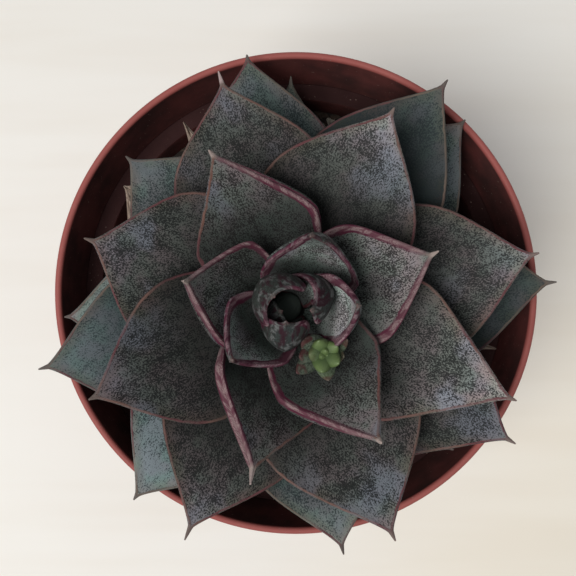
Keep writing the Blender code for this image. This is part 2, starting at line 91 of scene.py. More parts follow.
class Graph:
    """A short way to add nodes to one shader tree and to join them."""

    def __init__(self, tree: bpy.types.NodeTree) -> None:
        """Args:
            tree: The node tree that the nodes go into.
        """
        self.tree = tree

    def node(self, kind: str, **settings: object) -> bpy.types.Node:
        """Adds a node of that kind and sets its named properties."""
        made = self.tree.nodes.new(kind)
        for name, value in settings.items():
            setattr(made, name, value)
        return made

    def wire(self, value: Wired, socket: Socket) -> None:
        """Joins a socket to another, or sets it to a plain value."""
        if isinstance(value, bpy.types.NodeSocket):
            self.tree.links.new(value, socket)
        elif isinstance(socket.default_value, float):
            socket.default_value = float(value)
        elif len(socket.default_value) == 4 and len(value) == 3:
            socket.default_value = (*value, 1.0)
        else:
            socket.default_value = value

    def math(self, operation: str, first: Wired, second: Wired = 0.0, third: Wired = 0.0) -> Socket:
        """One Math node's result."""
        made = self.node("ShaderNodeMath", operation=operation)
        for value, socket in zip((first, second, third), made.inputs):
            self.wire(value, socket)
        return made.outputs[0]

    def span(self, value: Wired, low: Wired, high: Wired, start: Wired = 0.0, end: Wired = 1.0) -> Socket:
        """A soft ramp from start to end as the value goes from low to high."""
        made = self.node("ShaderNodeMapRange", interpolation_type='SMOOTHSTEP')
        for given, name in ((value, "Value"), (low, "From Min"), (high, "From Max"),
                            (start, "To Min"), (end, "To Max")):
            self.wire(given, made.inputs[name])
        return made.outputs[0]

    def mix(self, share: Wired, first: Wired, second: Wired, blend: str = 'MIX') -> Socket:
        """A colour between two colours."""
        made = self.node("ShaderNodeMix", data_type='RGBA', blend_type=blend, clamp_factor=True)
        self.wire(share, made.inputs[0])
        self.wire(first, made.inputs[6])
        self.wire(second, made.inputs[7])
        return made.outputs[2]

    def noise(self, vector: Socket, scale: Wired, detail: float = 2.0, roughness: float = 0.5,
              distortion: float = 0.0) -> Socket:
        """Noise of about 0.2 to 0.8 at a point."""
        made = self.node("ShaderNodeTexNoise")
        self.wire(vector, made.inputs["Vector"])
        self.wire(scale, made.inputs["Scale"])
        made.inputs["Detail"].default_value = detail
        made.inputs["Roughness"].default_value = roughness
        made.inputs["Distortion"].default_value = distortion
        return made.outputs["Fac"]

    def cells(self, vector: Socket, scale: Wired, feature: str = 'F1') -> bpy.types.Node:
        """A Voronoi node."""
        made = self.node("ShaderNodeTexVoronoi", feature=feature)
        self.wire(vector, made.inputs["Vector"])
        self.wire(scale, made.inputs["Scale"])
        return made

    def scaled(self, vector: Socket, factors: tuple[float, float, float]) -> Socket:
        """A vector stretched along its three parts."""
        made = self.node("ShaderNodeVectorMath", operation='MULTIPLY')
        self.wire(vector, made.inputs[0])
        made.inputs[1].default_value = factors
        return made.outputs[0]

    def parts(self, vector: Socket) -> tuple[Socket, Socket, Socket]:
        """The three parts of a vector."""
        made = self.node("ShaderNodeSeparateXYZ")
        self.wire(vector, made.inputs[0])
        return made.outputs[0], made.outputs[1], made.outputs[2]

    def attribute(self, name: str) -> Socket:
        """A mesh attribute of three numbers."""
        return self.node("ShaderNodeAttribute", attribute_name=name).outputs["Vector"]

    def place_mm(self) -> Socket:
        """Object coordinates in millimetres."""
        return self.scaled(self.node("ShaderNodeTexCoord").outputs["Object"], (1000.0,) * 3)

    def use(self, group: bpy.types.NodeTree, **values: Wired) -> bpy.types.Node:
        """Places a node group and feeds its inputs by name, with _ for a space."""
        made = self.node("ShaderNodeGroup", node_tree=group)
        for name, value in values.items():
            self.wire(value, made.inputs[name.replace("_", " ")])
        return made


def new_group(name: str, inputs: dict[str, float], outputs: Sequence[str]) -> tuple[Graph, dict, dict]:
    """Starts a shader node group that takes a Vector and some numbers.

    Args:
        name: The group's name.
        inputs: Its number inputs and their usual values.
        outputs: Its outputs, all plain numbers.

    Returns:
        The group's graph, its input sockets by name and its output sockets by name.
    """
    tree = bpy.data.node_groups.new(name, 'ShaderNodeTree')
    tree.interface.new_socket("Vector", in_out='INPUT', socket_type='NodeSocketVector')
    for label, value in inputs.items():
        made = tree.interface.new_socket(label, in_out='INPUT', socket_type='NodeSocketFloat')
        made.default_value = value
    for label in outputs:
        tree.interface.new_socket(label, in_out='OUTPUT', socket_type='NodeSocketFloat')
    graph = Graph(tree)
    source = graph.node("NodeGroupInput")
    target = graph.node("NodeGroupOutput")
    return graph, {s.name: s for s in source.outputs}, {s.name: s for s in target.inputs}


class Effects:
    """The node groups that several finishes share, each built once."""

    def __init__(self) -> None:
        """Builds every group."""
        self.mottling = self._mottling()
        self.cloud = self._cloud()
        self.grain = self._grain()

    @staticmethod
    def _mottling() -> bpy.types.NodeTree:
        """Small dark marks: two sizes of noise, cut off softly at a level that the density moves."""
        graph, given, out = new_group("mottling", {"Size": 0.35, "Density": 0.5}, ("Mask", "Relief"))
        rate = graph.math('DIVIDE', 1.0, given["Size"])
        fine = graph.noise(given["Vector"], rate, detail=2.6, roughness=0.68)
        broad = graph.noise(given["Vector"], graph.math('MULTIPLY', rate, 0.34), detail=1.0)
        both = graph.math('ADD', graph.math('MULTIPLY', fine, 0.84), graph.math('MULTIPLY', broad, 0.16))
        level = graph.math('ADD', 0.40, graph.math('MULTIPLY', given["Density"], 0.18))
        edge = graph.math('SUBTRACT', level, both)
        graph.wire(graph.span(edge, -0.052, 0.052), out["Mask"])
        graph.wire(fine, out["Relief"])
        return graph.tree

    @staticmethod
    def _cloud() -> bpy.types.NodeTree:
        """Broad soft patches from 0 to 1."""
        graph, given, out = new_group("cloud", {"Size": 8.0}, ("Value",))
        rate = graph.math('DIVIDE', 1.0, given["Size"])
        patch = graph.noise(given["Vector"], rate, detail=3.0, roughness=0.55)
        graph.wire(graph.span(patch, 0.3, 0.7), out["Value"])
        return graph.tree

    @staticmethod
    def _grain() -> bpy.types.NodeTree:
        """Fine grain for a bump, and sparse scratches or crumbs as a mask."""
        graph, given, out = new_group("grain", {"Size": 0.3, "Share": 0.2}, ("Height", "Specks"))
        rate = graph.math('DIVIDE', 1.0, given["Size"])
        graph.wire(graph.noise(given["Vector"], rate, detail=4.0, roughness=0.6), out["Height"])
        sparse = graph.noise(given["Vector"], graph.math('MULTIPLY', rate, 0.8), detail=1.0)
        level = graph.math('SUBTRACT', 0.86, graph.math('MULTIPLY', given["Share"], 0.6))
        graph.wire(graph.span(sparse, level, graph.math('ADD', level, 0.05)), out["Specks"])
        return graph.tree


def start_material(name: str) -> tuple[bpy.types.Material, Graph, bpy.types.Node]:
    """A new material, its graph and its Principled shader."""
    made = bpy.data.materials.new(name)
    made.use_nodes = True
    return made, Graph(made.node_tree), made.node_tree.nodes["Principled BSDF"]


def bump(graph: Graph, shader: bpy.types.Node, height: Wired, depth_mm: float) -> None:
    """Feeds a height to the shader's Normal, as a bump of that depth in millimetres."""
    made = graph.node("ShaderNodeBump")
    made.inputs["Strength"].default_value = 1.0
    made.inputs["Distance"].default_value = depth_mm * MM
    graph.wire(height, made.inputs["Height"])
    graph.wire(made.outputs["Normal"], shader.inputs["Normal"])


@dataclass(frozen=True)
class LeafFinish:
    """The waxy skin of a living leaf: dark marks on a ground that darkens from tip to seat.

    The mesh carries two attributes. skin holds the distance from the margin, which is negative on
    the underside, the distance from the tip, and 1 on the dry spine. side holds how powdery and
    bright the skin is, with painted light and shade along the leaf and on its face, 1 on the
    underside and 0 on the face, and the width of the pale strip beside the margin. Near the seat and
    on the underside the ground turns to a dark green that is partly the leaf's own and partly
    painted shade.
    """

    name: str
    pale: Colour
    middle: Colour
    dark: Colour
    # base_and_shade: the dark green of the leaf's base, also painted as shade near the seat and on the underside
    base_and_shade: Colour
    edge: Colour
    fade: tuple[float, float]
    seat: tuple[float, float]
    density: float
    crimson: Colour = (0.082, 0.017, 0.034)
    strip: Colour = (0.235, 0.160, 0.163)
    edge_width: float = 0.28
    line_width: float = 0.50
    mark_size: float = 0.24
    blotch: float = 0.0
    # shade: the share of the dark base colour painted on the underside as shade
    shade: float = 0.3
    bloom: Colour = (0.175, 0.205, 0.245)
    roughness: float = 0.56
    thorn: Colour = (0.30, 0.22, 0.19)
    rim_tint: Colour = (1.12, 0.97, 0.88)
    mauve: Colour = (0.115, 0.042, 0.047)
    bleached: Colour = (0.420, 0.330, 0.320)
    pales: tuple[float, float] = (1.5, 11.0)

    def build(self, effects: Effects) -> bpy.types.Material:
        """Makes the material.

        Args:
            effects: The shared node groups.

        Returns:
            The material.
        """
        made, graph, shader = start_material(self.name)
        flat = graph.node("ShaderNodeUVMap", uv_map="flat").outputs["UV"]
        margin, tip, thorn = graph.parts(graph.attribute("skin"))
        powder_and_light, under, strip_width = graph.parts(graph.attribute("side"))
        stretched = graph.scaled(flat, (80.0, 100.0, 100.0))
        plain = graph.scaled(flat, (100.0, 100.0, 100.0))
        cloud = graph.use(effects.cloud, Vector=stretched, Size=4.0).outputs["Value"]

        faded = graph.span(tip, self.fade[0], self.fade[1])
        near_seat = graph.span(tip, self.seat[0], self.seat[1])
        density = graph.math('ADD', self.density, graph.math('MULTIPLY', faded, 0.22))
        density = graph.math('ADD', density, graph.math('MULTIPLY', graph.math('SUBTRACT', cloud, 0.5), 0.44))
        clump = graph.math('SUBTRACT', graph.noise(stretched, 0.8, detail=2.0), 0.5)
        density = graph.math('ADD', density, graph.math('MULTIPLY', clump, 0.9))
        density = graph.math('SUBTRACT', density, graph.math('MULTIPLY', near_seat, 0.20))
        density = graph.math('ADD', density, graph.span(margin, 0.4, 2.2, -0.18, 0.0))
        ground = graph.mix(faded, self.pale, self.middle)
        tint = graph.span(graph.noise(plain, 0.22, detail=2.0), 0.38, 0.62)
        ground = graph.mix(1.0, ground, graph.mix(tint, (0.91, 1.035, 0.96), (1.09, 0.97, 1.01)), 'MULTIPLY')
        brown = graph.mix(graph.span(margin, 0.3, 3.0, 1.0, 0.0), (1.0, 1.0, 1.0), self.rim_tint)
        ground = graph.mix(1.0, ground, brown, 'MULTIPLY')
        bloom = graph.span(graph.noise(plain, 0.11, detail=2.0), 0.50, 0.66)
        bloom = graph.math('MULTIPLY', bloom, graph.math('SUBTRACT', 1.0, near_seat))
        ground = graph.mix(graph.math('MULTIPLY', bloom, 0.60), ground, self.bloom)
        density = graph.math('SUBTRACT', density, graph.math('MULTIPLY', bloom, 0.16))
        # Near the seat the ground turns to the dark base colour: partly the leaf's own green, partly painted shade of
        # the leaves above
        ground = graph.mix(graph.math('MULTIPLY', near_seat, 0.85), ground, self.base_and_shade)
        # Painted light and shade: the ground is scaled by the leaf's powder and painted light
        ground = graph.mix(1.0, ground, powder_and_light, 'MULTIPLY')
        # Painted shade: the underside is pulled toward the dark base colour by the shade share
        ground = graph.mix(graph.math('MULTIPLY', under, self.shade), ground, self.base_and_shade)
        density = graph.math('ADD', density, graph.math('MULTIPLY', under, 0.34 * self.blotch))
        marks = graph.use(effects.mottling, Vector=stretched, Size=self.mark_size, Density=density)
        mask = graph.math('MULTIPLY', marks.outputs["Mask"], 0.88)
        colour = graph.mix(mask, ground, self.dark)

        colour = self._edges(graph, colour, marks.outputs["Mask"], margin, tip, strip_width, stretched)
        if self.blotch:
            chalk = graph.span(graph.noise(stretched, 0.65, detail=3.0, roughness=0.65), 0.50, 0.62, 0.0, 0.34)
            colour = graph.mix(graph.math('MULTIPLY', chalk, under), colour, self.pale)
            streaks = graph.noise(graph.scaled(flat, (35.0, 100.0, 100.0)), 0.75, detail=3.0, roughness=0.62)
            patch = graph.math('MULTIPLY', graph.span(tip, 2.5, 8.0, 1.0, 0.0), graph.span(streaks, 0.48, 0.60))
            patch = graph.math('MULTIPLY', graph.math('MULTIPLY', patch, under), self.blotch)
            colour = graph.mix(patch, colour, tuple(0.42 * part for part in self.crimson))
        spine = graph.mix(graph.span(thorn, 1.0, 2.0), self.thorn, self.bleached)
        colour = graph.mix(graph.math('MINIMUM', thorn, 0.85), colour, spine)
        graph.wire(colour, shader.inputs["Base Color"])
        rough = graph.math('ADD', self.roughness, graph.math('MULTIPLY', mask, -0.06))
        graph.wire(graph.math('ADD', rough, graph.math('MULTIPLY', cloud, 0.08)), shader.inputs["Roughness"])
        pores = graph.noise(plain, 5.0, detail=3.0, roughness=0.6)
        height = graph.math('ADD', graph.math('MULTIPLY', pores, 0.5),
                            graph.math('MULTIPLY', marks.outputs["Relief"], 0.5))
        bump(graph, shader, height, 0.10)
        shader.inputs["Specular IOR Level"].default_value = 0.10
        return made

    def _edges(self, graph: Graph, colour: Socket, marks: Socket, margin: Socket, tip: Socket,
               strip_width: Socket, place: Socket) -> Socket:
        """Lays the pale strip, its crimson lines and the thin brown edge over the skin's colour.

        Args:
            graph: The material's graph.
            colour: The skin's colour so far.
            marks: The mask of the dark marks.
            margin: The distance from the margin.
            tip: The distance from the tip, where the crimson pales.
            strip_width: The width of the strip, 0 where there is none.
            place: Where on the flat leaf the point is.

        Returns:
            The colour with its edges.
        """
        wobble = graph.math('SUBTRACT', graph.noise(place, 0.7, detail=2.0), 0.5)
        away = graph.math('ADD', margin, graph.math('MULTIPLY', wobble, 0.7))
        wide = graph.span(strip_width, 0.45, 0.9)
        in_strip = graph.math('MULTIPLY', graph.span(away, -0.10, 0.12, 1.0, 0.0),
                              graph.span(graph.math('ADD', away, strip_width), -0.15, 0.15))
        drawn = graph.scaled(place, (0.4, 1.0, 1.0))
        patches = graph.span(graph.noise(drawn, 0.85, detail=2.8), 0.44, 0.59, 0.0, 0.85)
        paling = graph.span(tip, self.pales[0], self.pales[1], 0.55, 1.0)
        patches = graph.math('MULTIPLY', graph.math('MAXIMUM', graph.math('MULTIPLY', marks, 0.75), patches), paling)
        strip = graph.mix(patches, self.strip, self.crimson)
        colour = graph.mix(graph.math('MULTIPLY', in_strip, wide), colour, strip)
        line = graph.math('MULTIPLY', graph.span(away, -0.25, 0.05),
                          graph.span(away, self.line_width * 0.45, self.line_width, 1.0, 0.0))
        lower = graph.math('ABSOLUTE', graph.math('ADD', away, strip_width))
        lower_line = graph.span(lower, 0.10, 0.34, 1.0, 0.0)
        lines = graph.math('MULTIPLY', graph.math('MAXIMUM', line, lower_line), wide)
        broken = graph.span(graph.noise(place, 0.45, detail=2.0), 0.30, 0.60, 0.60, 0.98)
        lines = graph.math('MULTIPLY', graph.math('MULTIPLY', lines, broken), paling)
        colour = graph.mix(lines, colour, self.crimson)
        thin = graph.math('MULTIPLY', graph.span(away, -0.45, -0.10),
                          graph.span(away, self.edge_width * 0.3, self.edge_width, 1.0, 0.0))
        thin = graph.math('MULTIPLY', thin, graph.math('SUBTRACT', 1.0, wide))
        worn = graph.span(graph.noise(place, 0.25, detail=2.0), 0.35, 0.65, 0.45, 0.95)
        hue = graph.span(graph.noise(place, 0.09, detail=1.0), 0.44, 0.56)
        return graph.mix(graph.math('MULTIPLY', thin, worn), colour, graph.mix(hue, self.edge, self.mauve))


@dataclass(frozen=True)
class DryLeafFinish:
    """Brown-beige papery tissue with darker veins along the leaf and torn pale edges."""

    name: str = "dry_leaf_paper"
    light: Colour = (0.40, 0.32, 0.26)
    shade: Colour = (0.17, 0.115, 0.085)

    def build(self, effects: Effects) -> bpy.types.Material:
        """Makes the material, as LeafFinish.build does."""
        made, graph, shader = start_material(self.name)
        flat = graph.node("ShaderNodeUVMap", uv_map="flat").outputs["UV"]
        along = graph.scaled(flat, (18.0, 160.0, 100.0))
        veins = graph.noise(along, 1.0, detail=3.0, roughness=0.6)
        cloud = graph.use(effects.cloud, Vector=graph.scaled(flat, (100.0,) * 3), Size=3.0).outputs["Value"]
        share = graph.math('MULTIPLY', graph.span(veins, 0.35, 0.65), 0.6)
        share = graph.math('ADD', share, graph.math('MULTIPLY', cloud, 0.4))
        graph.wire(graph.mix(share, self.light, self.shade), shader.inputs["Base Color"])
        shader.inputs["Roughness"].default_value = 0.85
        bump(graph, shader, veins, 0.25)
        return made


@dataclass(frozen=True)
class PotFinish:
    """Moulded terracotta-brown plastic with faint flow marks; the inner wall under the lip is dulled and carries
    painted shade.
    """

    name: str = "pot_plastic_fine"
    colour: Colour = (0.262, 0.058, 0.054)
    faded: Colour = (0.400, 0.160, 0.135)
    # inner_wall_shade: the dark colour painted as shade on the inner wall
    inner_wall_shade: Colour = (0.031, 0.017, 0.016)

    def build(self, effects: Effects) -> bpy.types.Material:
        """Makes the material, as LeafFinish.build does."""
        made, graph, shader = start_material(self.name)
        place = graph.place_mm()
        x, y, z = graph.parts(place)
        radius = graph.math('SQRT', graph.math('ADD', graph.math('MULTIPLY', x, x), graph.math('MULTIPLY', y, y)))
        flow = graph.noise(graph.scaled(place, (0.35, 0.35, 0.05)), 1.0, detail=3.0)
        cloud = graph.use(effects.cloud, Vector=place, Size=9.0).outputs["Value"]
        grain = graph.use(effects.grain, Vector=place, Size=0.35, Share=0.22)
        colour = graph.mix(graph.span(flow, 0.35, 0.7, 0.07, 0.17), self.colour, self.faded)
        rim = graph.span(z, RIM_HEIGHT - 0.9, RIM_HEIGHT - 0.1)
        colour = graph.mix(graph.math('MULTIPLY', rim, 0.20), colour, self.faded)
        wall = graph.math('MINIMUM', graph.math('ADD', graph.math('MULTIPLY', z, 0.108), 33.9),
                          graph.math('MULTIPLY', graph.math('SUBTRACT', z, 61.7), 100.0))
        wall = graph.math('MAXIMUM', graph.math('ADD', graph.math('MULTIPLY', z, 0.1508), 28.25), wall)
        inside = graph.math('MULTIPLY', graph.math('LESS_THAN', radius, wall), graph.span(z, 50.0, 56.0))
        low = graph.span(z, 73.1, 73.6, 1.0, 0.0)
        inner_shade_and_dull = graph.math('MULTIPLY', graph.math('MULTIPLY', inside, low),
                            graph.math('ADD', 0.66, graph.math('MULTIPLY', cloud, 0.28)))
        # Painted shade on the inner wall above the soil up to just under the lip, patchy by a cloud; the same mask
        # dulls the roughness
        colour = graph.mix(inner_shade_and_dull, colour, self.inner_wall_shade)
        # Painted shade: a dark line in the corner of the inner ledge
        ledge = graph.math('MULTIPLY', graph.span(z, 62.2, 62.36), graph.span(z, 62.5, 62.9, 1.0, 0.0))
        ledge = graph.math('MULTIPLY', ledge, inside)
        colour = graph.mix(graph.math('MULTIPLY', ledge, 0.85), colour, (0.026, 0.010, 0.010))
        specks = graph.math('MULTIPLY', grain.outputs["Specks"], graph.math('MULTIPLY', inside, 0.5))
        colour = graph.mix(specks, colour, (0.30, 0.22, 0.18))
        graph.wire(colour, shader.inputs["Base Color"])
        rough = graph.math('ADD', 0.46, graph.math('MULTIPLY', cloud, 0.12))
        graph.wire(graph.math('ADD', rough, graph.math('MULTIPLY', inner_shade_and_dull, 0.3)), shader.inputs["Roughness"])
        shader.inputs["Specular IOR Level"].default_value = 0.12
        bump(graph, shader, grain.outputs["Height"], 0.03)
        return made


@dataclass(frozen=True)
class SoilFinish:
    """Dark damp peat with lighter bark bits and pale grit."""

    name: str = "soil_crumb"
    dark: Colour = (0.018, 0.012, 0.009)
    light: Colour = (0.085, 0.055, 0.036)

    def build(self, effects: Effects) -> bpy.types.Material:
        """Makes the material, as LeafFinish.build does."""
        made, graph, shader = start_material(self.name)
        place = graph.place_mm()
        crumbs = graph.cells(place, 0.75)
        tone = graph.parts(crumbs.outputs["Color"])[0]
        grain = graph.use(effects.grain, Vector=place, Size=0.5, Share=0.1)
        share = graph.math('MULTIPLY', graph.span(tone, 0.4, 1.0), grain.outputs["Height"])
        colour = graph.mix(share, self.dark, self.light)
        colour = graph.mix(graph.span(tone, 0.955, 0.96), colour, (0.32, 0.29, 0.24))
        graph.wire(colour, shader.inputs["Base Color"])
        shader.inputs["Roughness"].default_value = 0.92
        bump(graph, shader, grain.outputs["Height"], 0.4)
        return made


@dataclass(frozen=True)
class StemFinish:
    """Green-brown bark with cross rings where leaves have fallen."""

    name: str = "stem_bark_fine"
    light: Colour = (0.150, 0.115, 0.070)
    dark: Colour = (0.050, 0.038, 0.024)

    def build(self, effects: Effects) -> bpy.types.Material:
        """Makes the material, as LeafFinish.build does."""
        made, graph, shader = start_material(self.name)
        place = graph.place_mm()
        rings = graph.noise(graph.scaled(place, (0.25, 0.25, 1.6)), 1.0, detail=3.0)
        cloud = graph.use(effects.cloud, Vector=place, Size=2.0).outputs["Value"]
        share = graph.math('ADD', graph.math('MULTIPLY', graph.span(rings, 0.4, 0.62), 0.7),
                           graph.math('MULTIPLY', cloud, 0.3))
        colour = graph.mix(share, self.light, self.dark)
        # Partly painted light: the young top is green, and made pale enough to stay visible in the shade of the heart
        young = graph.span(graph.parts(place)[2], 78.0, 88.0)
        graph.wire(graph.mix(young, colour, (0.060, 0.080, 0.068)), shader.inputs["Base Color"])
        shader.inputs["Roughness"].default_value = 0.8
        bump(graph, shader, rings, 0.4)
        return made


@dataclass(frozen=True)
class BudFinish:
    """Fresh green bract skin. The bract attribute holds the way along it and its redness."""

    name: str = "bud_skin_fine"
    fresh: Colour = (0.034, 0.062, 0.020)
    pale: Colour = (0.120, 0.175, 0.060)
    grey: Colour = (0.110, 0.135, 0.100)
    red: Colour = (0.075, 0.016, 0.020)

    def build(self, effects: Effects) -> bpy.types.Material:
        """Makes the material, as LeafFinish.build does."""
        made, graph, shader = start_material(self.name)
        place = graph.place_mm()
        along, older, _ = graph.parts(graph.attribute("bract"))
        cloud = graph.use(effects.cloud, Vector=place, Size=1.4).outputs["Value"]
        marks = graph.use(effects.mottling, Vector=place, Size=0.32, Density=0.42)
        young = graph.mix(graph.span(along, 0.35, 1.0), self.fresh, self.pale)
        young = graph.mix(graph.math('MULTIPLY', cloud, 0.35), young, self.fresh)
        aged = graph.mix(graph.math('MULTIPLY', marks.outputs["Mask"], 0.8), self.grey, (0.022, 0.032, 0.022))
        colour = graph.mix(older, young, aged)
        stained = graph.math('ADD', along, graph.math('MULTIPLY', graph.noise(place, 0.9, detail=3.0), 0.7))
        tipped = graph.math('MULTIPLY', graph.span(stained, 1.10, 1.26), older)
        colour = graph.mix(graph.math('MULTIPLY', tipped, 0.85), colour, self.red)
        graph.wire(colour, shader.inputs["Base Color"])
        shader.inputs["Roughness"].default_value = 0.45
        bump(graph, shader, graph.noise(place, 5.0, detail=2.0), 0.06)
        return made


@dataclass(frozen=True)
class FloorFinish:
    """A very pale table top with a faint long grain."""

    name: str = "pale_table"
    light: Colour = (0.84, 0.82, 0.77)
    line: Colour = (0.80, 0.765, 0.70)
    # warm_shade: painted shade tint, warmer and a little darker
    warm_shade: Colour = (1.0, 0.965, 0.90)

    def build(self, effects: Effects) -> bpy.types.Material:
        """Makes the material, as LeafFinish.build does."""
        made, graph, shader = start_material(self.name)
        place = graph.place_mm()
        streak = graph.noise(graph.scaled(place, (0.006, 0.055, 0.02)), 1.0, detail=3.0, roughness=0.55)
        cloud = graph.use(effects.cloud, Vector=place, Size=90.0).outputs["Value"]
        share = graph.math('MULTIPLY', graph.span(streak, 0.35, 0.7),
                           graph.math('ADD', 0.5, graph.math('MULTIPLY', cloud, 0.5)))
        colour = graph.mix(share, self.light, self.line)
        x, y, _ = graph.parts(place)
        # Painted shade: the floor turns warmer and a little darker toward the right
        warm_shade = graph.span(graph.math('SUBTRACT', x, graph.math('MULTIPLY', y, 0.6)), 20.0, 110.0)
        graph.wire(graph.mix(warm_shade, colour, self.warm_shade, 'MULTIPLY'), shader.inputs["Base Color"])
        shader.inputs["Roughness"].default_value = 0.6
        return made


def mesh_from_grid(name: str, points: Array, closed_around: bool = True, capped: bool = True) -> bpy.types.Mesh:
    """Puts a grid of points into a mesh.

    Args:
        name: The mesh's name.
        points: Rows along the piece by columns round it by x, y, z, in millimetres.
        closed_around: Whether the last column joins the first.
        capped: Whether each end row is closed by a fan round its mean point.

    Returns:
        The mesh. Its vertices are the grid's row by row, then the two fan centres.
    """
    rows, columns = points.shape[:2]
    wide = columns if closed_around else columns - 1
    row, column = np.meshgrid(np.arange(rows - 1), np.arange(wide), indexing='ij')
    beside = (column + 1) % columns
    quads = np.stack([row * columns + column, (row + 1) * columns + column,
                      (row + 1) * columns + beside, row * columns + beside], axis=-1).reshape(-1, 4)
    vertices = points.reshape(-1, 3)
    faces = quads.tolist()
    if capped:
        vertices = np.vstack([vertices, points[0].mean(axis=0), points[-1].mean(axis=0)])
        first = rows * columns
        step = np.arange(wide)
        after = (step + 1) % columns
        last = (rows - 1) * columns
        faces += np.stack([np.full(wide, first), step, after], axis=-1).tolist()
        faces += np.stack([np.full(wide, first + 1), last + after, last + step], axis=-1).tolist()
    mesh = bpy.data.meshes.new(name)
    mesh.from_pydata((vertices * MM).tolist(), [], faces)
    mesh.update()
    mesh.shade_smooth()
    return mesh


def add_piece(name: str, mesh: bpy.types.Mesh, material: bpy.types.Material, slot: str,
              *replaced: str) -> bpy.types.Object:
    """Links a mesh as a piece of the plant, with its material, and hides the solids it stands for."""
    mesh.materials.clear()
    mesh.materials.append(material)
    made = bpy.data.objects.new(name, mesh)
    bpy.context.scene.collection.objects.link(made)
    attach(made, "root")
    if replaced:
        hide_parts(*replaced)
    log.info("%s: %d faces", name, len(mesh.polygons))
    return made


class Skin(Enum):
    """Which finish a leaf has."""

    OLD = "old"
    POWDERY = "powdery"
    GROWN = "grown"
    INNER = "inner"
    HEART = "heart"
    DRY = "dry"


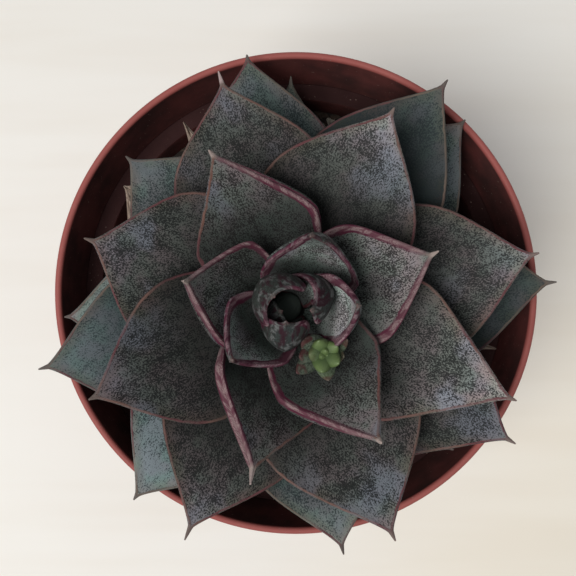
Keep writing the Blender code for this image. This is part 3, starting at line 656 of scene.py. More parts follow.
@dataclass(frozen=True)
class Leaf:
    """One leaf: its place on the spiral, its reach and lie, with the same values as its solid."""

    name: str
    rank: int
    swing: float
    reach: float
    lift: float
    width: float
    blunt: float = 1.16
    spine: float = 1.4
    twist: float = 0.0
    flank: float = 0.0
    thick: float = 3.5
    arch: float = 0.0
    strip: float = 0.0
    hook: float = 0.0
    widest: float = 0.0
    power: float = 0.0
    lean: float = 0.0
    free: float = 15.0
    clasp: float = 1.2
    sweep: float = 0.0
    # powder_and_light sets how powdery and bright each skin is, partly to paint the light and shade the leaf gets;
    # painted_light_slope paints light and shade along the leaf; painted_face_light paints light on a face that lies in
    # shade
    powder_and_light: float = 1.0
    painted_light_slope: float = 0.0
    painted_face_light: float = 1.0
    lap: float = 0.0
    other: float = 0.6
    bony: float = 0.0
    ridge: float = 1.8

    FIRST_TURN = 81.0
    SPIRAL_STEP = 136.7
    SEAT_LOW = 62.0
    SEAT_STEP = 0.90
    HEART_RANK = 28
    HEART_SEAT_STEP = 0.55
    LAST_RANK = 35
    COMMON_TWIST = -3.0
    EDGE = 0.6

    @property
    def turn(self) -> float:
        """The way that the leaf points, about Z."""
        return math.radians(self.FIRST_TURN + self.SPIRAL_STEP * self.rank + self.swing)

    @property
    def seat(self) -> float:
        """The height of its seat on the stem."""
        steps = self.SEAT_STEP * min(self.rank, self.HEART_RANK)
        return self.SEAT_LOW + steps + self.HEART_SEAT_STEP * max(self.rank - self.HEART_RANK, 0)

    @property
    def root(self) -> float:
        """Where it starts, from the stem's axis."""
        return 5.5 - 3.3 * max(self.rank, 0) / self.LAST_RANK + 0.3

    @property
    def bend(self) -> float:
        """How far its midrib bends."""
        if self.arch:
            return math.radians(self.arch)
        if self.rank < 24:
            return math.radians(8.0 + 0.55 * self.rank)
        return math.radians(min(27.6 + 3.4 * (self.rank - 24), 42.0))

    def midrib(self, along: Array) -> tuple[Array, Array, Array, float]:
        """The midrib, an arc from the stem to the tip.

        Args:
            along: Shares of the leaf's length.

        Returns:
            The distance from the stem's axis, the height, the slope and the whole length.
        """
        run = self.reach - self.root
        rise = RIM_HEIGHT + self.lift - self.seat
        arc = math.hypot(run, rise) / (2 * math.sin(self.bend / 2))
        start = math.atan2(rise, run) - self.bend / 2
        slope = start + self.bend * along
        radius = self.root + arc * (np.sin(slope) - math.sin(start))
        height = self.seat + arc * (math.cos(start) - np.cos(slope))
        return radius, height, slope, self.bend * arc

    def half_width(self, along: Array, length: float) -> Array:
        """Half the width: a soft minimum of what clasps the stem, the full width and a straight taper
        to the tip, and then the thin spine."""
        rounded = self.blunt > 1.22
        widest = self.widest or (0.44 if rounded else 0.40)
        power = self.power or (5.0 if rounded else 12.0)
        tip = 1 - self.spine / length
        beyond = np.clip((along - widest) / (tip - widest), 0, 1)
        line = self.blunt * (1 - beyond) * (1 - 0.32 * np.exp((along - tip) * length / 3.2))
        line = np.maximum(line, 1e-3)
        outer = ((line ** -power + 1) / (self.blunt ** -power + 1)) ** (-1 / power)
        clasp = self.clasp * self.midrib(along)[0]
        blade = outer * self.width / 2
        blade = (blade ** -6.0 + clasp ** -6.0) ** (-1 / 6.0)
        taper = 1 - 0.76 * np.clip((along - tip) / (1 - tip), 0, 1)
        return blade + 0.42 * taper * smooth((along - 0.6) / 0.3)

    def section(self, face: int = 27, keel: int = 27, bend: int = 5) -> tuple[Array, Array, Array]:
        """The way round the leaf: across the face, round one margin, under and round the other.

        Args:
            face: Points across the face.
            keel: Points across the underside.
            bend: Points round a margin, between face and underside.

        Returns:
            The place across from -1 to 1, the angle round the margin from 90 to -90 degrees, and
            which part each point is on: 0 face, 1 margin, 2 underside.
        """
        across_face = np.sin(np.linspace(-math.pi / 2, math.pi / 2, face))
        turn = np.linspace(math.pi / 2, -math.pi / 2, bend + 2)[1:-1]
        across = np.concatenate([across_face, np.ones(bend), np.sin(np.linspace(math.pi / 2, -math.pi / 2, keel)),
                                 -np.ones(bend)])
        angle = np.concatenate([np.zeros(face), turn, np.zeros(keel), turn[::-1]])
        part = np.concatenate([np.zeros(face), np.ones(bend), np.full(keel, 2.0), np.ones(bend)])
        return across, angle, part

    def surface(self, along: Array, across: Array, angle: Array, part: Array) -> dict[str, Array]:
        """Points of the leaf and what its finish reads there.

        The face is a shallow trough, curved across with the radius of its whorl. The underside
        lies an edge's thickness and a keel below it, and the margin between is a half round.

        Args:
            along: Shares of the length, one row per station.
            across: Places across, one column per point of the section.
            angle: Angles round the margin.
            part: Which part of the section each column is on.

        Returns:
            points, skin and side, each a grid, and length, the distance along of each row.
        """
        along = along[:, None]
        across, angle, part = across[None, :], angle[None, :], part[None, :]
        radius, height, slope, length = self.midrib(along)
        side = np.array([-math.sin(self.turn), math.cos(self.turn), 0.0])
        outward = np.array([math.cos(self.turn), math.sin(self.turn), 0.0])
        up = np.array([0.0, 0.0, 1.0])
        normal = -np.sin(slope)[..., None] * outward + np.cos(slope)[..., None] * up
        centre = radius[..., None] * outward + height[..., None] * up + np.array([*STEM_AXIS, 0.0])
        twist = math.radians(self.twist + self.COMMON_TWIST) * smooth(along / 0.45)
        turned_side = np.cos(twist)[..., None] * side + np.sin(twist)[..., None] * normal
        turned_normal = np.cos(twist)[..., None] * normal - np.sin(twist)[..., None] * side

        half = self.half_width(along, length)
        round_edge = np.minimum(self.EDGE / 2, 0.85 * half)
        flat_half = half - round_edge
        flat_across = flat_half * across
        cup = np.sin(np.clip(slope, 0.05, 1.35)) / (2 * np.maximum(radius, 5.0))
        raised = cup * flat_across ** 2
        under = part == 2
        rim = part == 1
        body = self.thick * (0.4 + 0.6 * smooth(along / 0.5)) * (1 - 0.9 * smooth((along - 0.5) / 0.5))
        body = np.minimum(body, 1.2 * half)
        keel = body * (1 - np.abs(across) ** self.ridge) ** 0.95
        bulge = np.clip(np.sign(self.flank) * np.sin(2 * np.arccos(np.clip(across, -1, 1))), 0, 1)
        swell = 0.45 * self.flank * body * bulge ** 0.6
        sideways = flat_across + under * swell + rim * np.sign(across) * round_edge * np.cos(angle)
        sideways = sideways + 4.0 * self.sweep * along * (1 - along)
        drop = under * (2 * round_edge + keel) + rim * round_edge * (1 - np.sin(angle))

        from_margin = flat_half * (1 - np.abs(across))
        raised = raised + self._relief(along, across, from_margin, length, part)
        hook = self.hook * smooth((along * length - (length - 2.2 * self.spine)) / (2.2 * self.spine)) ** 2
        points = (centre + (sideways + hook)[..., None] * turned_side
                  + (raised - drop)[..., None] * turned_normal)
        points = self._clasping(points, radius, height, slope, sideways, drop)

        margin = np.where(part == 0, from_margin, 0.0) - under * self._below(points, across, part)
        margin = np.where(rim, -round_edge * (math.pi / 2 - angle), margin)
        tip = length * (1 - along) + 0 * across
        chief = np.where(np.sign(across) * np.sign(self.flank or 1) > 0, 1.0, self.other)
        margin = margin - chief * self.lap * smooth(along / 0.3) * smooth(tip / (0.42 * length))
        # Painted light and shade: the leaf's brightness is sloped along it and raised on its face
        powder_and_light = self.powder_and_light * (1 + self.painted_light_slope * (1 - along - 0.35)) * np.where(part == 0, self.painted_face_light, 1.0)
        thorn = smooth((1.25 * self.spine - tip) / (0.7 * self.spine)) * min(self.spine, 1.0) * (1 + self.bony)
        strip = self.strip * chief * smooth(along / 0.3) * (0.35 + 0.65 * smooth(tip / (0.25 * length)))
        strip = strip * np.clip(tip / (0.07 * length), 0, 1)
        return {
            "points": points,
            "skin": np.stack([margin, tip, thorn], axis=-1),
            "side": np.stack([powder_and_light, (part > 0.5) + 0 * tip, strip], axis=-1),
            "length": length * along[:, 0],
        }

    def _clasping(self, points: Array, radius: Array, height: Array, slope: Array, sideways: Array,
                  drop: Array) -> Array:
        """Near the stem the leaf is part of a cone about the stem's axis, and further out it is free.

        Args:
            points: The free leaf.
            radius: The midrib's distance from the axis.
            height: The midrib's height.
            slope: The midrib's slope.
            sideways: The distance round the cone from the midrib.
            drop: The distance under the face.

        Returns:
            The points, turned about the axis by their distance over the radius where the cone holds.
        """
        lean = math.radians(self.lean) * smooth((height - self.seat) / (RIM_HEIGHT + self.lift - self.seat))
        turn = self.turn + sideways / np.maximum(radius, 1.0) + lean
        out = radius + drop * np.sin(slope)
        cone = np.stack([STEM_AXIS[0] + out * np.cos(turn), STEM_AXIS[1] + out * np.sin(turn),
                         height - drop * np.cos(slope)], axis=-1)
        held = smooth((self.free - radius) / (0.6 * self.free))[..., None]
        return points * (1 - held) + cone * held

    def _relief(self, along: Array, across: Array, from_margin: Array, length: float, part: Array) -> Array:
        """A low bead at the margin, a soft hollow beside it and gentle unevenness of the face."""
        bead = 0.07 * np.exp(-(from_margin / 0.5) ** 2) - 0.10 * np.exp(-((from_margin - 1.8) / 1.1) ** 2)
        strength = np.clip(self.width / 26.0, 0.2, 1.0) * smooth(along / 0.2) * smooth((1 - along) / 0.12)
        uneven = 0.10 * ripple(length * along / 7.0, self.width * across / 12.0, self.rank + 0.5)
        return (np.where(part == 0, bead, 0.0) + np.where(part == 0, uneven, 0.0)) * strength

    def _below(self, points: Array, across: Array, part: Array) -> Array:
        """The distance along the underside from the nearer margin."""
        step = np.linalg.norm(np.diff(points, axis=1, append=points[:, :1]), axis=-1)
        step = np.where(part == 2, step, 0.0)
        from_left = np.cumsum(step, axis=1) - step
        whole = step.sum(axis=1, keepdims=True)
        return np.minimum(from_left, whole - from_left) + self.EDGE

    def mesh(self, stations: int = 66) -> bpy.types.Mesh:
        """The closed leaf with its attributes and its flat map."""
        even = np.linspace(0, 1, stations)
        along = 1 - (1 - even) ** 1.25
        across, angle, part = self.section()
        made = self.surface(along, across, angle, part)
        return dressed_mesh(self.name + "_skin", made, self.rank, (27, 5, 27))


def flat_map(points: Array, length: Array, zones: tuple[int, int, int]) -> Array:
    """Where each face corner lies when the leaf is unrolled from its midrib to both sides.

    Face and underside are unrolled apart, each from its own midrib, so neither is sheared.

    Args:
        points: The leaf's grid of points.
        length: The distance along the midrib of each row.
        zones: How many columns the face, one margin and the underside have.

    Returns:
        Rows by columns by four corners by two, in millimetres.
    """
    face, bend, keel = zones
    step = np.linalg.norm(np.roll(points, -1, axis=1) - points, axis=-1)
    travelled = np.concatenate([np.zeros((len(points), 1)), np.cumsum(step, axis=1)], axis=1)
    over = travelled[:, [face // 2]]
    beneath = travelled[:, [face + bend + keel // 2]] - 60.0
    column = np.arange(points.shape[1])
    origin = np.where(column < face + bend, over, np.where(column < face + bend + keel - 1, beneath,
                                                           over + travelled[:, -1:]))
    along = np.repeat(length[:, None], len(column), axis=1)
    near, far = travelled[:, :-1] - origin, travelled[:, 1:] - origin
    corners = [(along[:-1], near[:-1]), (along[1:], near[1:]), (along[1:], far[1:]), (along[:-1], far[:-1])]
    return np.stack([np.stack(pair, axis=-1) for pair in corners], axis=2)


def dressed_mesh(name: str, made: dict[str, Array], seed: float, zones: tuple[int, int, int]) -> bpy.types.Mesh:
    """A closed mesh of a leaf's surface, with its attributes and its flat map.

    Args:
        name: The mesh's name.
        made: What Leaf.surface returns.
        seed: Shifts the flat map, so that no two leaves have the same marks.
        zones: How many columns the face, one margin and the underside have.

    Returns:
        The mesh.
    """
    points = made["points"]
    rows, columns = points.shape[:2]
    mesh = mesh_from_grid(name, points)
    for label in ("skin", "side"):
        grid = made[label].reshape(-1, 3)
        ends = np.stack([made[label][0].mean(axis=0), made[label][-1].mean(axis=0)])
        values = np.vstack([grid, ends]).astype(np.float32)
        mesh.attributes.new(label, 'FLOAT_VECTOR', 'POINT').data.foreach_set("vector", values.ravel())
    where = np.zeros((len(mesh.loops), 2))
    where[:(rows - 1) * columns * 4] = flat_map(points, made["length"], zones).reshape(-1, 2)
    where = where + np.array([53.0, 31.0]) * (seed + 3)
    layer = mesh.uv_layers.new(name="flat")
    layer.data.foreach_set("uv", (where * 0.01).astype(np.float32).ravel())
    return mesh


LEAVES = [
    Leaf("leaf_01", 0, 8.0, 41.4, -4.5, 20.0, blunt=1.3, spine=1.6),
    Leaf("leaf_02", 4, 1.0, 34.8, -3.0, 20.0, blunt=1.3, spine=1.2),
    Leaf("leaf_03", 5, 1.5, 44.6, 1.6, 26.5, blunt=1.6, spine=1.0),
    Leaf("leaf_04", 6, 2.0, 38.7, 1.4, 27.0, blunt=1.4, spine=1.0, powder_and_light=1.05),
    Leaf("leaf_05", 7, 1.0, 38.2, 2.2, 26.0, blunt=2.0, spine=0.6, powder_and_light=1.1),
    Leaf("leaf_06", 8, 4.5, 43.3, 3.6, 27.0, blunt=1.5, spine=1.0, powder_and_light=1.2, painted_light_slope=1.4),
    Leaf("leaf_07", 9, 0.5, 41.5, 6.1, 26.0, blunt=1.5, spine=1.0, sweep=-0.4),
    Leaf("leaf_08", 10, -3.0, 44.5, 8.4, 27.5, blunt=1.5, spine=1.6, powder_and_light=0.41),
    Leaf("leaf_09", 11, -7.5, 36.3, 7.6, 25.0, blunt=1.6, spine=1.2, powder_and_light=0.9),
    Leaf("leaf_10", 12, 1.5, 41.5, 9.7, 26.0, blunt=1.55, spine=1.6, powder_and_light=0.90, painted_light_slope=-1.5),
    Leaf("leaf_11", 13, -3.5, 44.0, 12.8, 26.5, blunt=1.4, powder_and_light=0.37, painted_light_slope=-1.5),
    Leaf("leaf_12", 14, -0.5, 40.8, 12.2, 26.0, blunt=1.4, spine=1.6, powder_and_light=0.50, painted_light_slope=-1.0),
    Leaf("leaf_13", 15, -2.5, 42.0, 13.6, 27.0, blunt=1.4, spine=1.6, powder_and_light=0.78),
    Leaf("leaf_14", 16, -2.0, 37.9, 15.5, 26.5, blunt=1.5, spine=2.3, bony=1.0, powder_and_light=0.83, painted_light_slope=0.5),
    Leaf("leaf_15", 17, 1.5, 39.3, 15.8, 26.0, blunt=1.28, spine=2.2, powder_and_light=0.76, painted_light_slope=-1.2),
    Leaf("leaf_16", 18, -9.5, 39.0, 18.2, 26.0, blunt=1.5, sweep=-0.6, powder_and_light=0.86, painted_light_slope=-0.3),
    Leaf("leaf_17", 19, 3.0, 32.6, 17.1, 27.0, blunt=1.5, spine=1.6, powder_and_light=0.90),
    Leaf("leaf_18", 20, 0.0, 38.0, 20.8, 27.5, blunt=1.28, spine=1.6, powder_and_light=0.97, painted_light_slope=0.5),
    Leaf("leaf_19", 21, -10.0, 33.2, 21.7, 26.5, blunt=1.28, spine=1.2, powder_and_light=0.90, painted_light_slope=-1.5),
    Leaf("leaf_20", 22, -3.5, 31.5, 23.0, 24.0, blunt=1.28, spine=1.2, powder_and_light=0.75),
    Leaf("leaf_21", 23, -7.0, 35.1, 25.1, 23.6, blunt=1.2, powder_and_light=1.52),
    Leaf("leaf_22", 24, -5.5, 25.1, 24.2, 20.5, blunt=1.04, twist=-7.0, flank=-1.0, strip=1.6, free=11.0,
         sweep=-1.0, powder_and_light=0.78, lap=0.5, other=0.25),
    Leaf("leaf_23", 25, 0.0, 25.1, 26.2, 19.0, blunt=1.08, spine=3.0, twist=-21.0, flank=-1.0, thick=3.8,
         strip=2.1, free=11.0, powder_and_light=0.70, lap=0.15, bony=0.6, other=0.25),
    Leaf("leaf_24", 26, -14.5, 22.7, 26.3, 19.5, blunt=1.22, spine=1.8, twist=1.0, thick=3.3, strip=1.35,
         free=11.0, lean=4.0, sweep=-0.8, power=8.0, powder_and_light=1.45, painted_light_slope=1.5, lap=0.95, other=0.85, flank=-0.25),
    Leaf("leaf_25", 27, -7.0, 14.8, 27.0, 17.0, blunt=1.08, twist=5.0, flank=1.0, thick=2.9, strip=1.4,
         free=9.0, powder_and_light=0.72, lap=0.5, other=0.85),
    Leaf("leaf_26", 28, -3.0, 21.8, 31.1, 17.4, blunt=1.04, spine=1.2, twist=-5.0, flank=-1.0, thick=3.2,
         strip=1.5, free=10.0, sweep=-0.55, lap=0.4, other=0.25),
    Leaf("leaf_27", 29, -13.5, 10.4, 28.3, 14.6, blunt=1.02, spine=0.5, twist=8.0, flank=0.6, thick=2.2,
         arch=56.0, strip=1.35, widest=0.42, power=12.0, free=7.0, clasp=1.5, lean=3.0, sweep=-1.9, powder_and_light=0.74, painted_light_slope=1.3, lap=1.05),
    Leaf("leaf_28", 30, 1.5, 10.0, 29.0, 13.0, blunt=1.15, spine=0.6, twist=1.0, thick=2.0, strip=1.3,
         widest=0.40, power=9.0, free=7.0, clasp=1.5, sweep=-0.4, powder_and_light=0.8, lap=0.85, other=1.0),
    Leaf("leaf_29", 31, 5.0, 9.4, 31.0, 11.0, blunt=1.35, spine=0.6, twist=1.0, thick=1.9, strip=1.5, widest=0.46,
         power=8.0, free=7.0, clasp=2.0, lean=5.0, sweep=-0.9, powder_and_light=1.4, painted_light_slope=1.5, lap=1.1, other=1.0),
    Leaf("leaf_30", 32, -6.0, 2.2, 28.8, 13.6, blunt=2.5, spine=0.3, twist=1.0, thick=1.3, arch=44.0,
         widest=0.55, power=4.0, clasp=1.6, lean=6.0, strip=1.2, powder_and_light=0.24, painted_face_light=5.6, lap=0.25, other=1.0, ridge=1.1),
    Leaf("leaf_31", 33, -5.0, 1.6, 28.0, 8.0, blunt=3.0, spine=0.3, twist=1.0, thick=1.9, arch=68.0,
         widest=0.50, power=3.0, strip=1.2, powder_and_light=0.24, painted_face_light=5.6, lap=0.25, other=1.0, ridge=1.0),
    Leaf("leaf_32", 34, 6.0, 3.2, 28.3, 6.4, blunt=2.0, spine=0.3, twist=1.0, thick=1.9, arch=74.0,
         widest=0.50, power=3.0, lean=-58.0, strip=1.2, powder_and_light=0.24, painted_face_light=5.6, lap=0.25, other=1.0, ridge=1.1),
    Leaf("leaf_33", 35, 24.5, 0.6, 24.5, 4.4, blunt=2.5, spine=0.3, twist=1.0, thick=0.9,
         arch=60.0, strip=0.5, powder_and_light=0.2, painted_face_light=5.0, ridge=1.1),
]

DRY_LEAVES = [
    Leaf("dry_leaf_1", 1, -4.5, 33.6, -5.5, 11.0, blunt=1.3, spine=1.2, thick=0.4),
    Leaf("dry_leaf_2", 2, -6.5, 38.6, -3.5, 11.0, blunt=1.3, spine=1.5, thick=0.4),
    Leaf("dry_leaf_3", 3, -11.5, 37.5, -2.5, 9.0, blunt=1.3, spine=1.5, thick=0.4),
    Leaf("dry_leaf_4", -2, -23.5, 35.8, -1.5, 17.0, blunt=2.4, spine=0.6, thick=0.4, widest=0.5),
]


@dataclass
class Rosette:
    """All the leaves, living and withered."""

    old_ranks: int = 14
    powdery: tuple[str, ...] = ("leaf_04", "leaf_07", "leaf_12")
    inner_rank: int = 24
    heart_rank: int = 29

    def finishes(self, effects: Effects) -> dict[Skin, bpy.types.Material]:
        """The finish of each kind of leaf."""
        return {
            Skin.OLD: LeafFinish("leaf_old", pale=(0.140, 0.165, 0.165), middle=(0.080, 0.098, 0.100),
                                 dark=(0.019, 0.027, 0.029), base_and_shade=(0.021, 0.027, 0.025),
                                 edge=(0.130, 0.100, 0.080), fade=(3.0, 15.0), seat=(12.0, 24.0),
                                 density=0.42, bloom=(0.120, 0.150, 0.165),
                                 thorn=(0.110, 0.095, 0.085)).build(effects),
            Skin.POWDERY: LeafFinish("leaf_powdery", pale=(0.210, 0.260, 0.272), middle=(0.120, 0.156, 0.166),
                                     dark=(0.026, 0.037, 0.041), base_and_shade=(0.024, 0.032, 0.030),
                                     edge=(0.150, 0.115, 0.095), fade=(5.0, 19.0), seat=(14.0, 25.0),
                                     density=0.32, bloom=(0.200, 0.245, 0.268),
                                     thorn=(0.150, 0.130, 0.120)).build(effects),
            Skin.GROWN: LeafFinish("leaf_grown", pale=(0.216, 0.223, 0.243), middle=(0.114, 0.110, 0.107),
                                   dark=(0.008, 0.009, 0.009), base_and_shade=(0.032, 0.032, 0.030),
                                   edge=(0.150, 0.084, 0.070), fade=(0.5, 11.0), seat=(9.0, 21.0),
                                   density=0.48, thorn=(0.170, 0.130, 0.115)).build(effects),
            Skin.INNER: LeafFinish("leaf_inner", pale=(0.230, 0.226, 0.224), middle=(0.151, 0.149, 0.145),
                                   dark=(0.011, 0.010, 0.010), base_and_shade=(0.026, 0.034, 0.030),
                                   edge=(0.150, 0.076, 0.060), fade=(1.0, 10.0), seat=(7.0, 16.0),
                                   density=0.46, thorn=(0.38, 0.31, 0.28),
                                   rim_tint=(1.03, 0.98, 0.98)).build(effects),
            Skin.HEART: LeafFinish("leaf_heart", pale=(0.285, 0.290, 0.290), middle=(0.375, 0.395, 0.390),
                                   dark=(0.025, 0.022, 0.021), base_and_shade=(0.023, 0.034, 0.028),
                                   edge=(0.110, 0.028, 0.034), fade=(2.0, 7.0), seat=(6.0, 11.5),
                                   density=0.40, strip=(0.245, 0.153, 0.170), blotch=0.80,
                                   crimson=(0.073, 0.015, 0.032), shade=0.60,
                                   rim_tint=(1.0, 1.0, 1.0), thorn=(0.17, 0.12, 0.11),
                                   pales=(0.0, 1.5)).build(effects),
            Skin.DRY: DryLeafFinish().build(effects),
        }

    def skin_of(self, leaf: Leaf) -> Skin:
        """The kind of a living leaf."""
        if leaf.name in self.powdery:
            return Skin.POWDERY
        if leaf.rank >= self.heart_rank:
            return Skin.HEART
        if leaf.rank >= self.inner_rank:
            return Skin.INNER
        return Skin.OLD if leaf.rank < self.old_ranks else Skin.GROWN

    def build(self, effects: Effects) -> None:
        """Makes every leaf.

        Args:
            effects: The shared node groups.
        """
        finishes = self.finishes(effects)
        for leaf in LEAVES:
            skin = self.skin_of(leaf)
            slot = "heart_leaf_skin" if leaf.rank > Leaf.HEART_RANK else "leaf_skin"
            add_piece(leaf.name + "_skin", leaf.mesh(), finishes[skin], slot, leaf.name)
        for leaf in DRY_LEAVES:
            add_piece(leaf.name + "_paper", self.withered(leaf), finishes[Skin.DRY], "dry_leaf_skin", leaf.name)

    def withered(self, leaf: Leaf) -> bpy.types.Mesh:
        """A dry leaf: the leaf's own surface, crumpled across its thickness by a sum of sines."""
        even = np.linspace(0, 1, 60)
        across, angle, part = leaf.section(face=21, keel=21, bend=3)
        made = leaf.surface(even, across, angle, part)
        length = made["skin"][..., 1]
        crumple = 0.45 * ripple(length / 4.0, across[None, :] * leaf.width / 4.0, leaf.rank + 7.0)
        crumple = crumple * smooth(even / 0.15)[:, None]
        made["points"] = made["points"] + crumple[..., None] * np.array([0.0, 0.0, 1.0])
        return dressed_mesh(leaf.name + "_paper", made, leaf.rank, (21, 3, 21))


@dataclass
class Pot:
    """The round pot: a thin turned shell with a deep collar and a ledge inside below it."""

    steps: int = 192
    lip_width: float = 1.2
    collar_depth: float = 12.2
    collar_taper: float = 1.2
    ledge_height: float = 62.4
    ledge_inner: float = 36.9
    ledge_outer: float = 39.9
    wall: float = 1.1
    foot_radius: float = 28.8
    floor_top: float = 2.5
    foot_width: float = 3.2
    pad_radius: float = 12.5
    relief: float = 1.2
    drain_holes: int = 6
    drain_radius: float = 2.6
    drain_ring: float = 19.0

    def profile(self) -> Array:
        """The outline from the middle of the floor up the inside, over the lip and down outside."""
        lip = self.lip_width / 2
        turn = np.linspace(math.pi, 0, 11)
        arc = np.stack([RIM_RADIUS - lip + lip * np.cos(turn), RIM_HEIGHT - lip + lip * np.sin(turn)], axis=-1)
        low = RIM_HEIGHT - self.collar_depth
        collar = RIM_RADIUS - self.collar_taper
        inner = self.foot_radius - self.wall
        inside = [(0.0, self.floor_top), (self.pad_radius, self.floor_top), (inner - 1.0, self.floor_top),
                  (inner - 0.3, self.floor_top + 0.3), (inner + 0.1, self.floor_top + 1.0),
                  (self.ledge_inner - 0.15, self.ledge_height - 1.2), (self.ledge_inner, self.ledge_height - 0.35),
                  (self.ledge_inner + 0.1, self.ledge_height - 0.1), (self.ledge_inner + 0.35, self.ledge_height),
                  (self.ledge_outer - 0.35, self.ledge_height), (self.ledge_outer - 0.08, self.ledge_height + 0.1),
                  (self.ledge_outer + 0.03, self.ledge_height + 0.4)]
        outside = [(collar + 0.08, low + 1.4), (collar, low + 0.4), (collar - 0.12, low + 0.12),
                   (collar - 0.4, low), (self.ledge_inner + self.wall + 0.5, low - 0.05),
                   (self.ledge_inner + self.wall + 0.1, low - 0.4), (self.ledge_inner + self.wall - 0.05, low - 1.2),
                   (self.foot_radius + 0.12, 1.4), (self.foot_radius, 0.6), (self.foot_radius - 0.18, 0.18),
                   (self.foot_radius - 0.6, 0.0)]
        under = [(self.foot_radius - self.foot_width, 0.0),
                 (self.foot_radius - self.foot_width - self.relief / 2, self.relief),
                 (self.pad_radius + self.relief / 2, self.relief), (self.pad_radius, 0.0), (0.0, 0.0)]
        return np.vstack([inside, arc, outside, under])

    def build(self, effects: Effects) -> None:
        """Makes the pot: the outline turned about Z, then bored for its drain holes.

        Args:
            effects: The shared node groups.
        """
        profile = self.profile()
        inner = profile[1:-1]
        turn = np.linspace(0, 2 * math.pi, self.steps, endpoint=False)
        points = np.stack([inner[:, None, 0] * np.cos(turn), inner[:, None, 0] * np.sin(turn),
                           np.repeat(inner[:, 1:2], self.steps, axis=1)], axis=-1)
        mesh = mesh_from_grid("pot_shell", points)
        mesh.set_sharp_from_angle(angle=math.radians(38))
        made = add_piece("pot_shell", mesh, PotFinish().build(effects), "pot_plastic", "pot")
        self.bore(made)

    def bore(self, made: bpy.types.Object) -> None:
        """Cuts the drain holes with round cutters and applies the cut."""
        ring = 2 * math.pi * (np.arange(self.drain_holes) + 0.5) / self.drain_holes
        turn = np.linspace(0, 2 * math.pi, 40, endpoint=False)
        cut = bpy.data.meshes.new("drain_cutter")
        vertices, faces = [], []
        for index, angle in enumerate(ring):
            x = self.drain_ring * math.cos(angle) + self.drain_radius * np.cos(turn)
            y = self.drain_ring * math.sin(angle) + self.drain_radius * np.sin(turn)
            first = index * 80
            vertices += [np.stack([x, y, np.full(40, height)], axis=-1) for height in (-1.0, 3.6)]
            step = np.arange(40)
            after = (step + 1) % 40
            faces += np.stack([first + step, first + after, first + 40 + after, first + 40 + step], axis=-1).tolist()
            faces += [(first + step[::-1]).tolist(), (first + 40 + step).tolist()]
        cut.from_pydata((np.vstack(vertices) * MM).tolist(), [], faces)
        tool = bpy.data.objects.new("drain_cutter", cut)
        bpy.context.scene.collection.objects.link(tool)
        holes = made.modifiers.new("drain", 'BOOLEAN')
        holes.operation = 'DIFFERENCE'
        holes.solver = 'EXACT'
        holes.object = tool
        baked = bpy.data.meshes.new_from_object(made.evaluated_get(bpy.context.evaluated_depsgraph_get()))
        made.modifiers.clear()
        made.data = baked
        bpy.data.objects.remove(tool)


